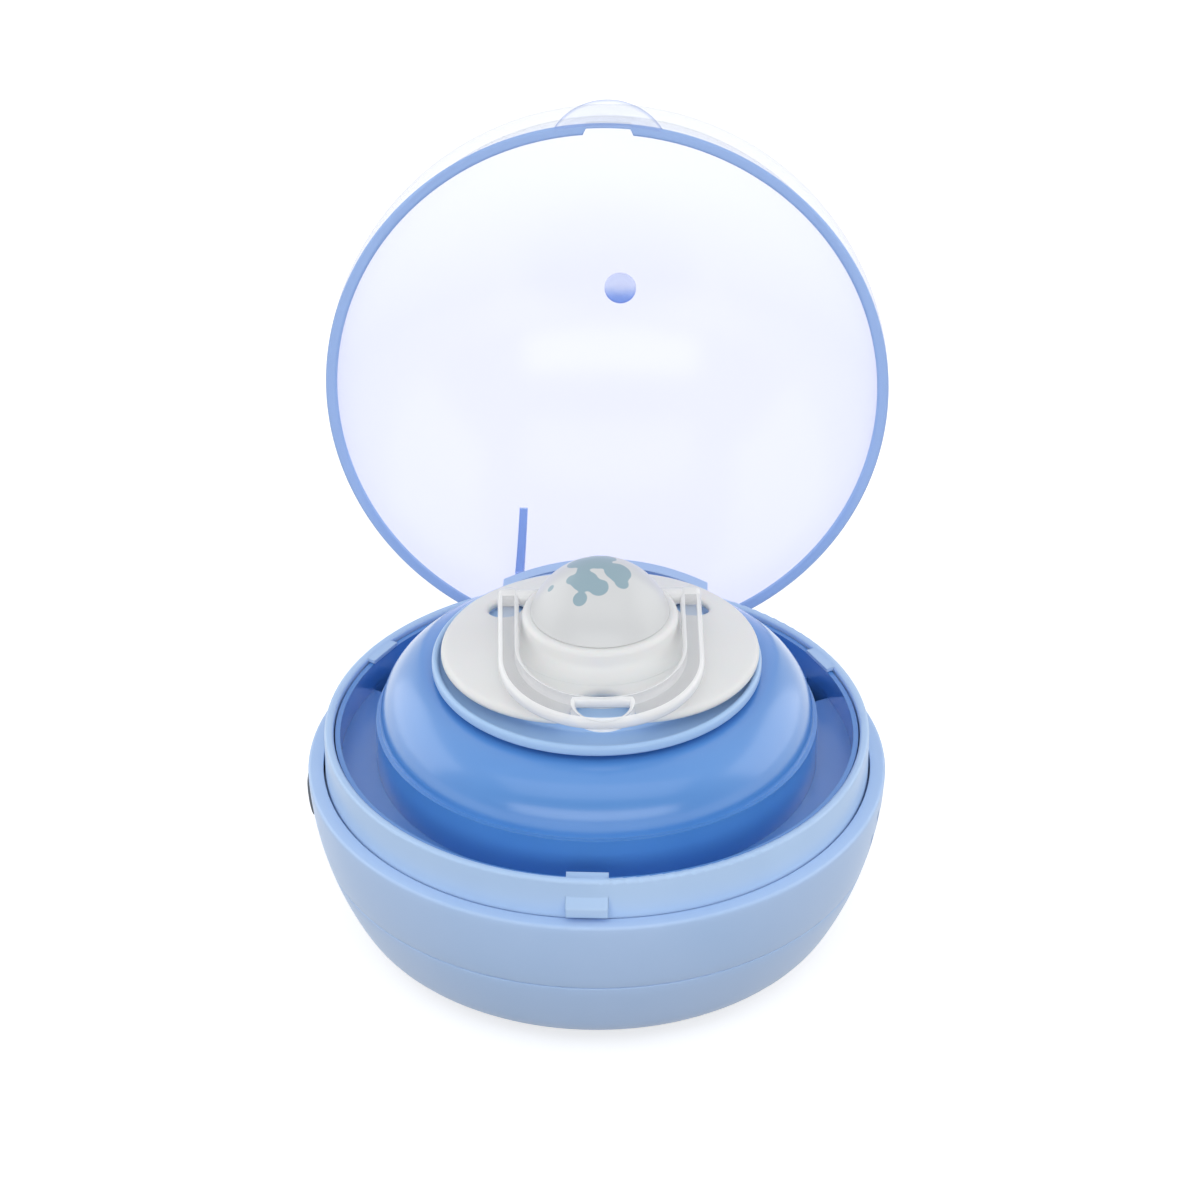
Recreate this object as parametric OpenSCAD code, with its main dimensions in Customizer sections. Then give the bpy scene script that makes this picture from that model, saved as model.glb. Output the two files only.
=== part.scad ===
// Pacifier sterilizer case: a flattened ball that opens on a rear hinge.
// The lower half holds three cells, a UV lamp and a deck with a domed seat.
// The clear upper half is the lid. A soother hangs teat-down in the dome.
// Frame: +Z up, front at -Y, origin on the resting plane at the ball's axis.
// The lid is drawn in the open position, against its stop.

/* [Ball] */
// Outer radius of the closed ball
ball_r = 44; // [42:0.5:48]
// Height of the ball's centre over the table
ball_z = 29; // [28:0.25:30]
// Wall of the case shells and of the lid
wall = 1.8; // [1.5:0.1:2.2]
// How far the lower half bulges out of a true ball
belly = 7; // [4:0.5:9]
// Height of the seam between lower and upper shell
seam_z = 14.6; // [14.2:0.1:15.2]
// Height of the ledge that the lid closes on
rim_z = 27; // [26.6:0.1:27.6]
// Radius of the round bottom edge
foot_edge_r = 8; // [6:0.5:9]

/* [Lid] */
// How far the lid stands open
lid_open = 97; // [80:1:105]
// Gap between the closed lid and the ledge
lid_gap = 0.15; // [0.1:0.05:0.3]
// How far the thumb tab stands out of the ball
tab_out = 3.5; // [2:0.25:5]
// Half width of the thumb tab at the ball
tab_half = 8; // [6:0.5:10]
// Thickness of the thumb tab
tab_t = 1.6; // [1.2:0.1:2.4]
// Thickness of the ribs inside the lid
rib_t = 1.3; // [0.8:0.1:1.8]
// Depth of the ribs at their lower end
rib_depth = 2.4; // [1.5:0.1:3]

/* [Hinge] */
// Distance of the hinge axis inside the ball's rear face
hinge_inset = 4.4; // [4.1:0.1:4.6]
// Depth of the hinge axis below the ledge
hinge_drop = 0.5; // [0.3:0.1:0.8]
// Radius of the hinge pins
pin_r = 0.9; // [0.7:0.05:1]
// Radius of the lid's hinge lugs
lug_r = 2; // [1.8:0.05:2.1]
// Width of each hinge lug
lug_w = 2; // [1.6:0.1:2.4]
// Half width of the hinge tower on the upper shell
tower_half = 16.2; // [15.6:0.1:17]
// Height of the hinge tower over the ledge
tower_h = 9; // [7:0.25:9.5]
// Gap between the tower and the lid's cut-out
tower_gap = 0.4; // [0.3:0.05:0.6]

/* [Collar and deck] */
// How far the collar stands inside the ball's outer face
collar_inset = 2.7; // [2.6:0.1:2.9]
// Wall of the collar
collar_t = 1.4; // [1.2:0.1:1.5]
// Height of the collar over the ledge
collar_h = 6.3; // [5:0.1:7]
// Width of the collar's three clips and of the lid catch
clip_w = 6.2; // [5:0.1:8]
// Depth of the trough below the collar's top
trough_depth = 5.5; // [4.5:0.1:6]
// Wall of the deck
deck_t = 1.6; // [1.2:0.1:1.8]
// Width of the trough round the dome
trough_w = 5.5; // [5.1:0.1:6.4]
// Radius of the dome's rounded shoulder
shoulder_r = 8.2; // [7.5:0.1:8.8]
// Height of the dome's top over the table
dome_top_z = 43.2; // [42.6:0.1:43.8]

/* [Soother seat] */
// Outer radius of the seat's lip
seat_lip_r = 24.8; // [24.6:0.1:25.4]
// Radius of the hole that the teat hangs in
seat_bore_r = 17.6; // [17:0.1:18]
// Height of the lip over the dome's top
seat_lip_h = 2.4; // [2:0.1:2.6]
// Height of the inner ring over the dome's top
seat_ring_h = 3.5; // [3.3:0.05:3.6]

/* [Power] */
// Radius of one AAA cell
cell_r = 5.15; // [5:0.05:5.25]
// Length of one AAA cell without its nub
cell_l = 42.6; // [42:0.1:43]
// Number of cells side by side
cell_count = 3; // [2:1:3]
// Radius of the battery door
door_r = 28.6; // [27.6:0.1:28.8]
// Angle that the battery door turns to unlock
door_turn = 22; // [18:1:24]
// Width of the power button
button_w = 9; // [7:0.5:11]
// Height of the power button
button_h = 6; // [5:0.1:6.4]
// How far the power button is pressed in
button_travel = 0.8; // [0.4:0.1:0.9]

/* [Soother] */
// Half width of the soother's shield
shield_half_w = 23.9; // [22:0.1:24.2]
// Half height of the soother's shield
shield_half_h = 20.2; // [19:0.1:21]
// Thickness of the shield
shield_t = 1.6; // [1.4:0.1:2.2]
// Radius of the curve of the shield
shield_curve_r = 120; // [110:5:160]
// Radius of the knob
knob_r = 10.4; // [9.5:0.1:10.8]
// Height of the knob's dome
knob_h = 7.7; // [6:0.1:8.2]
// Turn of the soother in its seat
soother_turn = 3; // [0:1:6]
// How far the soother lies to the right of the dome's axis
soother_off = 0.5; // [-0.8:0.1:0.8]
// Radius of the teat's bulb
teat_r = 7.4; // [6.5:0.1:7.5]
// Length of the teat below the shield
teat_l = 26.2; // [24:0.1:26.4]
// Half width of the ring handle
ring_half_w = 15.3; // [15:0.1:16]
// Width of the ring's side arms
ring_band = 3.2; // [2.8:0.1:3.3]
// Thickness of the ring
ring_t = 2; // [1.6:0.1:2.2]

/* [Hidden] */
$fn = 96;

eps = 0.05;
far = 200;

// Running and seating clearances
run_gap = 0.05;
seat_gap = 0.1;
free_gap = 0.3;

// Bottom shell and battery door
pad_proud = 0.8;
floor_z = pad_proud;
floor_top = floor_z + 1.8;
door_top = floor_top - free_gap;
door_gap = free_gap;
foot_cz = floor_z + foot_edge_r;
foot_cr = body_r(foot_cz, foot_edge_r);
door_lug_half = 7;
door_neck_t = 1.1;
door_lug_out = 1.8;
door_lug_t = 1.2;
pad_r = door_r - 1.2;
pad_deep = 0.5;
dimple_x = 17;
dimple_r = 4.5;
dimple_deep = 0.5;

// Lap joint at the seam
lap_in = body_r(seam_z, wall) + 0.1;
lap_t = 0.8;
lap_h = 1.3;

// Ledge, collar and deck heights and radii
collar_r = ball_r - collar_inset;
ledge_in_r = collar_r + free_gap;
ledge_t = 1.2;
collar_top = rim_z + collar_h;
collar_in_r = collar_r - collar_t;
collar_foot = rim_z - 1.4;
collar_edge = 0.5;
clip_in = 1.3;
clip_t = 0.7;
deck_wall_out = collar_in_r - 0.2;
deck_wall_in = deck_wall_out - 0.8;
deck_wall_top = collar_top - clip_t - seat_gap;
deck_floor = collar_top - trough_depth;
deck_under = deck_floor - deck_t;
deck_foot = collar_foot - 1.1;
deck_flange_r = collar_r + seat_gap;
dome_r = deck_wall_in - trough_w;
shoulder_cr = dome_r - 0.6 - shoulder_r;
shoulder_cz = dome_top_z - shoulder_r;
dome_hole_r = seat_bore_r + 1.4;
slot_in = deck_wall_in - 2.4;
clip_angles = [-90, 30, 150];
shelf_t = 1;
shelf_top = deck_foot - seat_gap;
shelf_in_r = deck_wall_out - 0.2;
shelf_break = 14;
catch_out = 1.2;
catch_low = 0.7;
catch_mid = 2.2;
catch_high = 3.5;

// Hinge
hinge_y = ball_r - hinge_inset;
hinge_z = rim_z - hinge_drop;
pin_hole_r = pin_r + 0.03;
lug_bore_r = pin_r + run_gap;
lug_x = tower_half + tower_gap;
lug_end = lug_x + lug_w;
pin_in = tower_half - 2.6;
boss_r = 2.1;
boss_x = tower_half - 2.8;
pocket_r = lug_r + 0.35;
relief_r = boss_r + 0.2;
tower_in_r = ledge_in_r + 0.1;
tower_arch_r = 55;
tower_front = hinge_y - 14.6;
tower_back = ball_r + 5;
notch_up = 0.9;

// Lid
lid_z = rim_z + lid_gap;
lid_in_r = ball_r - wall;
recess_half = clip_w / 2 + 0.9;
recess_h = catch_high + 0.6;
recess_r = collar_r + catch_out + 0.7;
recess_deep = 10;
tab_r = (pow(tab_half, 2) + pow(tab_out + 0.7, 2)) / (2 * (tab_out + 0.7));
nub_x = 0.8;
nub_r = 2.6;
nub_h = 0.7;
long_rib_x = -14.3;
long_rib_to = 37;
short_rib_x = 9.3;
short_rib_to = 17;
rib_from = asin((tower_h + rim_z + 2 - ball_z) / (ball_r - wall));

// Screws: posts under the deck meet tabs of the lower shell
post_r = 2.4;
post_at = 27;
post_turn = 54;
tab_z = floor_z + 4;
tab_top = tab_z + 2;
case_thread_r = 1.1;
case_thread_l = 9.5;
case_head_r = 2.2;
case_head_h = 1.4;
case_cross_l = 2.8;
case_cross_w = 0.6;
case_cross_deep = 0.8;

// Battery bay
cell_pitch = 2 * cell_r + 0.5;
nub_len = 0.9;
cell_nub_r = 1.9;
contact_t = 0.4;
contact_w = 6;
contact_h = 7;
leaf_w = 4;
spring_room = 3;
bay_half_l = (cell_l + nub_len + spring_room) / 2 + contact_t + run_gap;
bay_half_w = cell_pitch * 1.5 + 0.1;
bay_wall = 1.4;
cell_z = floor_top + 0.35 + cell_r;
bay_roof = cell_z + cell_r + 0.15;
bay_top = bay_roof + 1;

// Boards and lamp
board_z = bay_top + 0.8;
board_t = 1.2;
board_r = 23.6;
board_top = board_z + board_t;
board_screw_x = 17.5;
board_screw_y = 11;
board_thread_r = 0.8;
board_head_r = 1.5;
board_head_h = 1;
board_cross_l = 2;
board_cross_w = 0.4;
board_cross_deep = 0.6;
led_board_r = 7;
led_board_top = board_top + 1;
led_side = 3.5;
led_h = 1.1;
led_top = led_board_top + led_h;
beeper_x = 16.5;
beeper_r = 4.8;
beeper_h = 4.5;
beeper_hole_r = 1;
beeper_hole_deep = 1;

// Reflector cup, window and seat
cup_t = 0.6;
cup_rim_r = seat_bore_r - 0.2;
cup_step_z = dome_top_z - 1.8;
cup_top_r = cup_rim_r - 1;
cup_low_r = 9;
cup_low_z = led_top + 0.8;
cup_floor = cup_low_z + 0.8;
cup_hole_r = 6.2;
window_r = 7.2;
window_t = 1;
seal_out = cup_low_r - cup_t - 0.05;
spigot_r = dome_hole_r - 0.2;
spigot_z = dome_top_z - 2.6;
seat_neck_r = 22.2;
seat_under = dome_top_z + 0.7;
seat_floor = seat_under + 0.8;
seat_lip_top = dome_top_z + seat_lip_h;
seat_lip_t = 1.1;
seat_ring_top = dome_top_z + seat_ring_h;
seat_ring_out = seat_bore_r + 1.8;

// Power button and its switch
button_z = 20.2;
button_proud = 0.55;
button_low = button_z - button_h / 2 + 0.5;
button_flange_x = -(body_r(button_low, wall) - 0.25);
button_flange_t = 0.8;
button_lip = 0.7;
button_post_l = 0.8;
button_post_r = 1.5;
button_end = button_flange_x + button_flange_t + button_post_l;
switch_face = button_end + button_travel + run_gap;
switch_stem = 1.2;
switch_stem_r = 1.7;
switch_side = 6;
switch_t = 3.4;
switch_back = switch_face + switch_stem + switch_t;
side_board_w = 12;
side_board_low = button_z - 5.4;

// Beeper holes in the right side of the upper shell
hole_w = 1;
hole_l = 1.9;
hole_rows = [6, 7, 6];
hole_step_z = 3;
hole_step_turn = 4.8;
hole_top_z = 23.5;

// Soother
shield_drop = shield_curve_r - sqrt(pow(shield_curve_r, 2) - pow(seat_ring_out, 2));
shield_under = seat_ring_top + seat_gap + shield_drop;
shield_top = shield_under + shield_t;
shield_y = -0.3;
shield_reach = 10;
lobe_r = shield_half_h;
lobe_x = shield_half_w - lobe_r;
chin_r = 4.3;
chin_y = -shield_half_h - 2.6;
nose_r = 9;
nose_y = shield_half_h + 7;
vent_r = 3;
vent_x = 15.6;
vent_y = 7.8;
hub_r = 11.7;
hub_base_r = 11.8;
hub_top = shield_top + 3.6;
hub_step = 0.4;
teat_neck_r = 5.6;
teat_flange_r = 7.6;
teat_flange_z = shield_under + 2.8;
teat_flange_t = 1.4;
teat_wall = 1.6;
teat_tip_z = shield_under - teat_l;
bulb_z = teat_tip_z + teat_r;
neck_hole_r = teat_neck_r + 0.1;
hub_bore_r = teat_flange_r + 0.15;
plug_r = teat_neck_r - teat_wall - 0.1;
plug_l = 3;
plug_flange_r = 6;
plug_flange_t = 0.9;
knob_curve_r = (pow(knob_r, 2) + pow(knob_h, 2)) / (2 * knob_h);
knob_cz = hub_top + seat_gap + knob_h - knob_curve_r;
knob_spigot_t = 1.4;
ring_y = 6;
ring_z = shield_top + 2.4;
ring_tilt = 5;
ring_out_y = -25.3;
ring_in_y = -19.3;
ring_pin_r = 1.2;
ring_pin_end = 6.9;
ring_eye_r = 1.4;
ring_in_half = ring_half_w - ring_band;
window_half_w = 4;
window_low = 4.8;

// Radius of the lower half at a height, drawn in by an inset
function body_r(z, inset) = sqrt(pow(ball_r + belly - inset, 2) - pow(ball_z - z, 2)) - belly;

// Half-plane profile of everything inside a sphere about the ball's centre
module ball_disc(r) {
    intersection() {
        translate([0, ball_z]) circle(r, $fn = 180);
        translate([0, -far / 2]) square([far, far]);
    }
}

// The same for the fuller lower half, drawn in by an inset
module body_disc(inset) {
    intersection() {
        translate([-belly, ball_z]) circle(ball_r + belly - inset, $fn = 180);
        translate([0, -far / 2]) square([far, far]);
    }
}

// Profile between two heights
module band(low, high) {
    translate([0, low]) square([far, high - low]);
}

// Ring with a rectangular section
module tube(r_out, r_in, z0, z1) {
    translate([0, 0, z0]) difference() {
        cylinder(r = r_out, h = z1 - z0);
        translate([0, 0, -eps]) cylinder(r = r_in, h = z1 - z0 + 2 * eps);
    }
}

// Round bar along X
module bar_x(r, x0, x1) {
    translate([x0, 0, 0]) rotate([0, 90, 0]) cylinder(r = r, h = x1 - x0);
}

// The same thing on the left and on the right
module both_sides() {
    children();
    mirror([1, 0, 0]) children();
}

// Places on the hinge axis
module on_hinge() {
    translate([0, hinge_y, hinge_z]) children();
}

// Arched front view of the hinge tower, grown sideways and upwards
module tower_arch(grow, up) {
    top = rim_z + tower_h + up;
    intersection() {
        translate([-tower_half - grow, rim_z - 1.2]) square([2 * (tower_half + grow), far]);
        translate([0, top - tower_arch_r]) circle(tower_arch_r, $fn = 180);
    }
}

// The arch carried backwards through the rear wall
module tower_prism(grow, up) {
    translate([0, tower_back, 0]) rotate([90, 0, 0])
        linear_extrude(tower_back - tower_front) tower_arch(grow, up);
}

// Places of the four posts that carry the case screws
module at_posts() {
    for (turn = [post_turn, 180 - post_turn, 180 + post_turn, -post_turn])
        rotate([0, 0, turn]) translate([post_at, 0, 0]) children();
}

// Outer profile of the lower shell with its round bottom edge
module bowl_profile() {
    reach = (ball_r + belly) / (ball_r + belly - foot_edge_r);
    blend_r = (foot_cr + belly) * reach - belly;
    blend_z = ball_z - (ball_z - foot_cz) * reach;
    intersection() {
        body_disc(0);
        band(blend_z, seam_z);
    }
    translate([foot_cr, foot_cz]) circle(foot_edge_r);
    polygon([[0, floor_z], [foot_cr, floor_z], [blend_r, blend_z], [0, blend_z + eps]]);
}

module lower_shell() {
    color("#9bbde9") difference() {
        union() {
            rotate_extrude() difference() {
                intersection() {
                    bowl_profile();
                    band(floor_z, seam_z);
                }
                intersection() {
                    body_disc(wall);
                    band(floor_top, seam_z + eps);
                }
            }
            tube(lap_in + lap_t, lap_in, seam_z - 1, seam_z + lap_h);
            intersection() {
                at_posts() {
                    translate([0, 0, tab_z]) cylinder(r = post_r + 0.8, h = tab_top - tab_z);
                    translate([0, -2.4, tab_z]) cube([far, 4.8, tab_top - tab_z]);
                }
                rotate_extrude() body_disc(wall / 2);
            }
        }
        translate([0, 0, -eps]) cylinder(r = door_r + door_gap, h = floor_top + eps * 2);
        for (turn = [90, 270]) rotate([0, 0, turn + door_turn]) bayonet_slot();
        at_posts() cylinder(r = case_thread_r + 0.15, h = tab_top + 1);
    }
}

// Gap in the floor that lets one bayonet lug pass
module bayonet_slot() {
    half = door_lug_half + 1.5;
    translate([0, 0, -eps]) rotate([0, 0, -half])
        rotate_extrude(angle = 2 * half)
            square([door_r + door_lug_out + free_gap, floor_top + 2 * eps]);
}

module upper_shell() {
    color("#a5c3ef") difference() {
        union() {
            rotate_extrude() difference() {
                intersection() {
                    body_disc(0);
                    band(seam_z, rim_z);
                }
                intersection() {
                    body_disc(wall);
                    band(seam_z - eps, rim_z - ledge_t);
                }
                translate([0, rim_z - ledge_t - eps]) square([ledge_in_r, ledge_t + 1]);
            }
            deck_shelf();
            hinge_tower();
            both_sides() intersection() {
                on_hinge() bar_x(boss_r, boss_x, tower_half);
                rotate_extrude() body_disc(eps);
            }
        }
        translate([0, 0, seam_z - eps])
            cylinder(r = lap_in + lap_t + seat_gap, h = lap_h + seat_gap + eps);
        both_sides() on_hinge() {
            bar_x(pocket_r, tower_half, lug_end + 0.4);
            bar_x(pin_hole_r, pin_in - seat_gap, tower_half + 1);
        }
        translate([-ball_r - 1, 0, button_z])
            pill(button_w + 2 * free_gap, button_h + 2 * free_gap, 6);
        beeper_holes();
    }
}

// Shelf inside the shell that the deck's flange presses down on
module deck_shelf() {
    difference() {
        rotate_extrude() intersection() {
            body_disc(wall / 2);
            translate([shelf_in_r, shelf_top - shelf_t]) square([far, shelf_t]);
        }
        translate([-far / 2, -shelf_break, shelf_top - 2])
            cube([far, 2 * shelf_break, 3]);
    }
}

// Patch of the ball behind the collar that the hinge stands in
module hinge_tower() {
    intersection() {
        rotate_extrude() difference() {
            ball_disc(ball_r);
            ball_disc(tower_in_r);
        }
        tower_prism(0, 0);
    }
}

// Flat bar with round ends, standing across X
module pill(w, h, l) {
    rotate([90, 0, 90]) linear_extrude(l) {
        square([w - h, h], center = true);
        for (s = [-1, 1]) translate([s * (w - h) / 2, 0]) circle(h / 2);
    }
}

// Staggered rows of upright slots
module beeper_holes() {
    for (row = [0 : len(hole_rows) - 1], i = [0 : hole_rows[row] - 1])
        rotate([0, 0, (i - (hole_rows[row] - 1) / 2) * hole_step_turn])
            translate([ball_r - wall * 3, 0, hole_top_z - row * hole_step_z])
                rotate([90, 0, 90]) linear_extrude(wall * 4) {
                    square([hole_w, hole_l - hole_w], center = true);
                    for (s = [-1, 1]) translate([0, s * (hole_l - hole_w) / 2])
                        circle(hole_w / 2, $fn = 24);
                }
}

module collar_ring() {
    color("#b5cdf3") difference() {
        union() {
            rotate_extrude() {
                translate([collar_in_r, collar_foot])
                    square([collar_t, collar_top - collar_foot - collar_edge]);
                translate([collar_in_r + collar_edge, collar_top - 2 * collar_edge])
                    square([collar_t - 2 * collar_edge, 2 * collar_edge]);
                for (r = [collar_in_r + collar_edge, collar_r - collar_edge])
                    translate([r, collar_top - collar_edge]) circle(collar_edge, $fn = 32);
            }
            for (turn = clip_angles) rotate([0, 0, turn]) clip();
            lid_catch();
        }
        both_sides() on_hinge() bar_x(relief_r, boss_x - 0.3, lug_end + 0.6);
    }
}

// Hook over the rim of the deck
module clip() {
    intersection() {
        translate([collar_in_r - clip_in, -clip_w / 2, collar_top - clip_t])
            cube([clip_in + collar_t / 2, clip_w, clip_t - 0.1]);
        tube(collar_r - 0.2, collar_in_r - clip_in, collar_top - 2, collar_top);
    }
}

// Sloped catch at the front that the lid snaps over
module lid_catch() {
    side = -collar_r;
    translate([-clip_w / 2, 0, rim_z]) rotate([90, 0, 90]) linear_extrude(clip_w)
        polygon([[side + 0.5, catch_low], [side - catch_out, catch_low],
            [side - catch_out, catch_mid], [side + 0.5, catch_high + 0.6]]);
}

// Solid profile of the dome, drawn in by a wall thickness
module dome_profile(inset) {
    translate([0, deck_under - eps])
        square([dome_r - inset, shoulder_cz - deck_under + eps]);
    translate([shoulder_cr, shoulder_cz]) circle(shoulder_r - inset);
    translate([0, deck_under - eps])
        square([shoulder_cr, dome_top_z - inset - deck_under + eps]);
}

module dome_deck() {
    color("#7fa8e6") difference() {
        union() {
            rotate_extrude() difference() {
                union() {
                    intersection() {
                        dome_profile(0);
                        band(deck_under, far);
                    }
                    translate([0, deck_under]) square([deck_wall_out - 0.4, deck_t]);
                    translate([deck_wall_in, deck_foot])
                        square([deck_wall_out - deck_wall_in, deck_wall_top - deck_foot]);
                    translate([deck_wall_in, deck_foot])
                        square([deck_flange_r - deck_wall_in, collar_foot - deck_foot]);
                }
                dome_profile(deck_t);
                square([dome_hole_r, far]);
            }
            deck_posts();
        }
        for (turn = clip_angles) rotate([0, 0, turn])
            translate([slot_in, -clip_w / 2, deck_under - 1])
                cube([deck_wall_in - slot_in, clip_w, deck_t + 1.5]);
        at_posts() translate([0, 0, tab_top - eps])
            cylinder(r = case_thread_r + 0.02, h = case_thread_l);
        both_sides() on_hinge() bar_x(relief_r, boss_x - 0.3, lug_end + 0.6);
    }
}

// Four hollow posts from the dome down to the lower shell
module deck_posts() {
    intersection() {
        at_posts() translate([0, 0, tab_top]) cylinder(r = post_r, h = far);
        rotate_extrude() {
            dome_profile(deck_t / 2);
            square([dome_r - deck_t / 2, deck_under]);
        }
    }
}

module soother_seat() {
    lip_mid = seat_lip_r - seat_lip_t / 2;
    color("#a9c6f0") rotate_extrude() difference() {
        union() {
            translate([0, spigot_z]) square([spigot_r, dome_top_z - spigot_z + eps]);
            translate([0, dome_top_z]) square([seat_neck_r, seat_under - dome_top_z + eps]);
            translate([0, seat_under]) square([seat_lip_r, seat_floor - seat_under]);
            translate([seat_lip_r - seat_lip_t, seat_under])
                square([seat_lip_t, seat_lip_top - seat_under - seat_lip_t / 2]);
            translate([lip_mid, seat_lip_top - seat_lip_t / 2])
                circle(seat_lip_t / 2, $fn = 32);
            translate([0, seat_under]) square([seat_ring_out, seat_ring_top - seat_under]);
        }
        translate([0, cup_step_z]) square([seat_bore_r, far]);
        square([cup_top_r + 0.1, far]);
    }
}

module reflector_cup() {
    color("#d9dde2") rotate_extrude() difference() {
        union() {
            polygon([[0, cup_low_z], [cup_low_r, cup_low_z],
                [cup_top_r, cup_step_z], [0, cup_step_z]]);
            translate([0, cup_step_z]) square([cup_rim_r, 0.8]);
        }
        polygon([[0, cup_floor], [cup_low_r - cup_t, cup_floor],
            [cup_top_r - cup_t, cup_step_z], [cup_top_r - cup_t, far], [0, far]]);
        square([cup_hole_r, cup_floor + eps]);
    }
}

module quartz_window() {
    color("#e6f2fa") translate([0, 0, cup_floor]) cylinder(r = window_r, h = window_t);
}

module window_seal() {
    color("#5b6068") tube(seal_out, window_r + 0.05, cup_floor, cup_floor + window_t);
}

module uv_led_board() {
    color("#f2f2ee") translate([0, 0, board_top])
        cylinder(r = led_board_r, h = led_board_top - board_top);
}

module uv_led() {
    color("#e8d9a0") translate([-led_side / 2, -led_side / 2, led_board_top]) {
        cube([led_side, led_side, led_h * 0.7]);
        translate([led_side / 2, led_side / 2, led_h * 0.7]) cylinder(r = 1.3, h = led_h * 0.3);
    }
}

// Places of the four board screws
module at_board_screws() {
    for (x = [-1, 1], y = [-1, 1])
        translate([x * board_screw_x, y * board_screw_y, 0]) children();
}

module main_board() {
    color("#2f7a52") difference() {
        translate([0, 0, board_z]) cylinder(r = board_r, h = board_t);
        at_board_screws() translate([0, 0, board_z - 1])
            cylinder(r = board_thread_r + 0.1, h = board_t + 2, $fn = 32);
    }
}

module beeper() {
    color("#26282b") translate([beeper_x, 0, board_top]) difference() {
        cylinder(r = beeper_r, h = beeper_h);
        translate([0, 0, beeper_h - beeper_hole_deep])
            cylinder(r = beeper_hole_r, h = beeper_h, $fn = 32);
    }
}

module button_board() {
    color("#2f7a52") translate([switch_back, -side_board_w / 2, side_board_low])
        cube([board_t, side_board_w, deck_under - side_board_low]);
}

module button_switch() {
    color("#3a3d42") {
        translate([switch_face + switch_stem, -switch_side / 2, button_z - switch_side / 2])
            cube([switch_t, switch_side, switch_side]);
        translate([0, 0, button_z])
            bar_x(switch_stem_r, switch_face, switch_face + switch_stem + eps);
    }
}

module battery_tray() {
    half_l = bay_half_l + bay_wall;
    half_w = bay_half_w + bay_wall;
    color("#dfe5ec") difference() {
        union() {
            translate([-half_l, -half_w, floor_top])
                cube([2 * half_l, 2 * half_w, bay_top - floor_top]);
            at_board_screws() translate([0, 0, bay_top - eps])
                cylinder(r = 1.9, h = board_z - bay_top + eps, $fn = 48);
        }
        translate([-bay_half_l, -bay_half_w, floor_top - 1])
            cube([2 * bay_half_l, 2 * bay_half_w, bay_roof - floor_top + 1]);
        at_board_screws() translate([0, 0, bay_roof - 1])
            cylinder(r = board_thread_r + 0.02, h = board_z - bay_roof + 2, $fn = 32);
    }
}

// One cell, with its nub towards +X
module cell() {
    nub_tip = bay_half_l - contact_t - run_gap;
    body_end = nub_tip - nub_len;
    translate([0, 0, cell_z]) {
        bar_x(cell_r, body_end - cell_l, body_end);
        bar_x(cell_nub_r, body_end - eps, nub_tip);
    }
}

// Cells lie side by side and point in turn to the right and to the left
module cell_place(i) {
    translate([0, (i - (cell_count - 1) / 2) * cell_pitch, 0])
        rotate([0, 0, 180 * (i % 2)]) children();
}

module battery_front() {
    color("#c9ced6") cell_place(0) cell();
}

module battery_middle() {
    color("#b9bfc9") cell_place(1) cell();
}

module battery_rear() {
    color("#c9ced6") cell_place(cell_count - 1) cell();
}

// Bent leaf that presses on the flat end of each cell
module contact_springs() {
    leaf_r = spring_room - 0.1;
    color("#c8b070") for (i = [0 : cell_count - 1]) cell_place(i) {
        translate([-bay_half_l, 0, cell_z]) contact_blade();
        intersection() {
            translate([-bay_half_l + contact_t - eps, -leaf_w / 2, cell_z - leaf_r])
                cube([leaf_r, leaf_w, 2 * leaf_r]);
            translate([-bay_half_l + contact_t - eps, 0, cell_z]) rotate([90, 0, 0])
                difference() {
                    cylinder(r = leaf_r, h = leaf_w, center = true);
                    cylinder(r = leaf_r - contact_t, h = leaf_w + 1, center = true);
                }
        }
    }
}

module contact_plates() {
    color("#c8b070") for (i = [0 : cell_count - 1]) cell_place(i)
        translate([bay_half_l - contact_t, 0, cell_z]) contact_blade();
}

// Flat metal plate that stands in the end of a bay
module contact_blade() {
    translate([0, -contact_w / 2, -contact_h / 2]) cube([contact_t, contact_w, contact_h]);
}

// Cross recess of a screw head
module cross_cut(l, w, h) {
    for (turn = [0, 90]) rotate([0, 0, turn])
        translate([-l / 2, -w / 2, 0]) cube([l, w, h]);
}

module case_screws() {
    color("#8d949c") at_posts() {
        translate([0, 0, tab_z - case_head_h]) difference() {
            cylinder(r = case_head_r, h = case_head_h);
            translate([0, 0, -eps]) cross_cut(case_cross_l, case_cross_w, case_cross_deep);
        }
        translate([0, 0, tab_z - eps]) cylinder(r = case_thread_r, h = case_thread_l - 0.5);
    }
}

module board_screws() {
    color("#8d949c") at_board_screws() {
        translate([0, 0, board_top]) difference() {
            cylinder(r = board_head_r, h = board_head_h, $fn = 48);
            translate([0, 0, board_head_h - board_cross_deep])
                cross_cut(board_cross_l, board_cross_w, board_head_h);
        }
        translate([0, 0, bay_roof + 0.2])
            cylinder(r = board_thread_r, h = board_top - bay_roof - 0.2 + eps, $fn = 32);
    }
}

module hinge_pins() {
    color("#b8bec6") both_sides() on_hinge() bar_x(pin_r, pin_in, lug_end);
}

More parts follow.
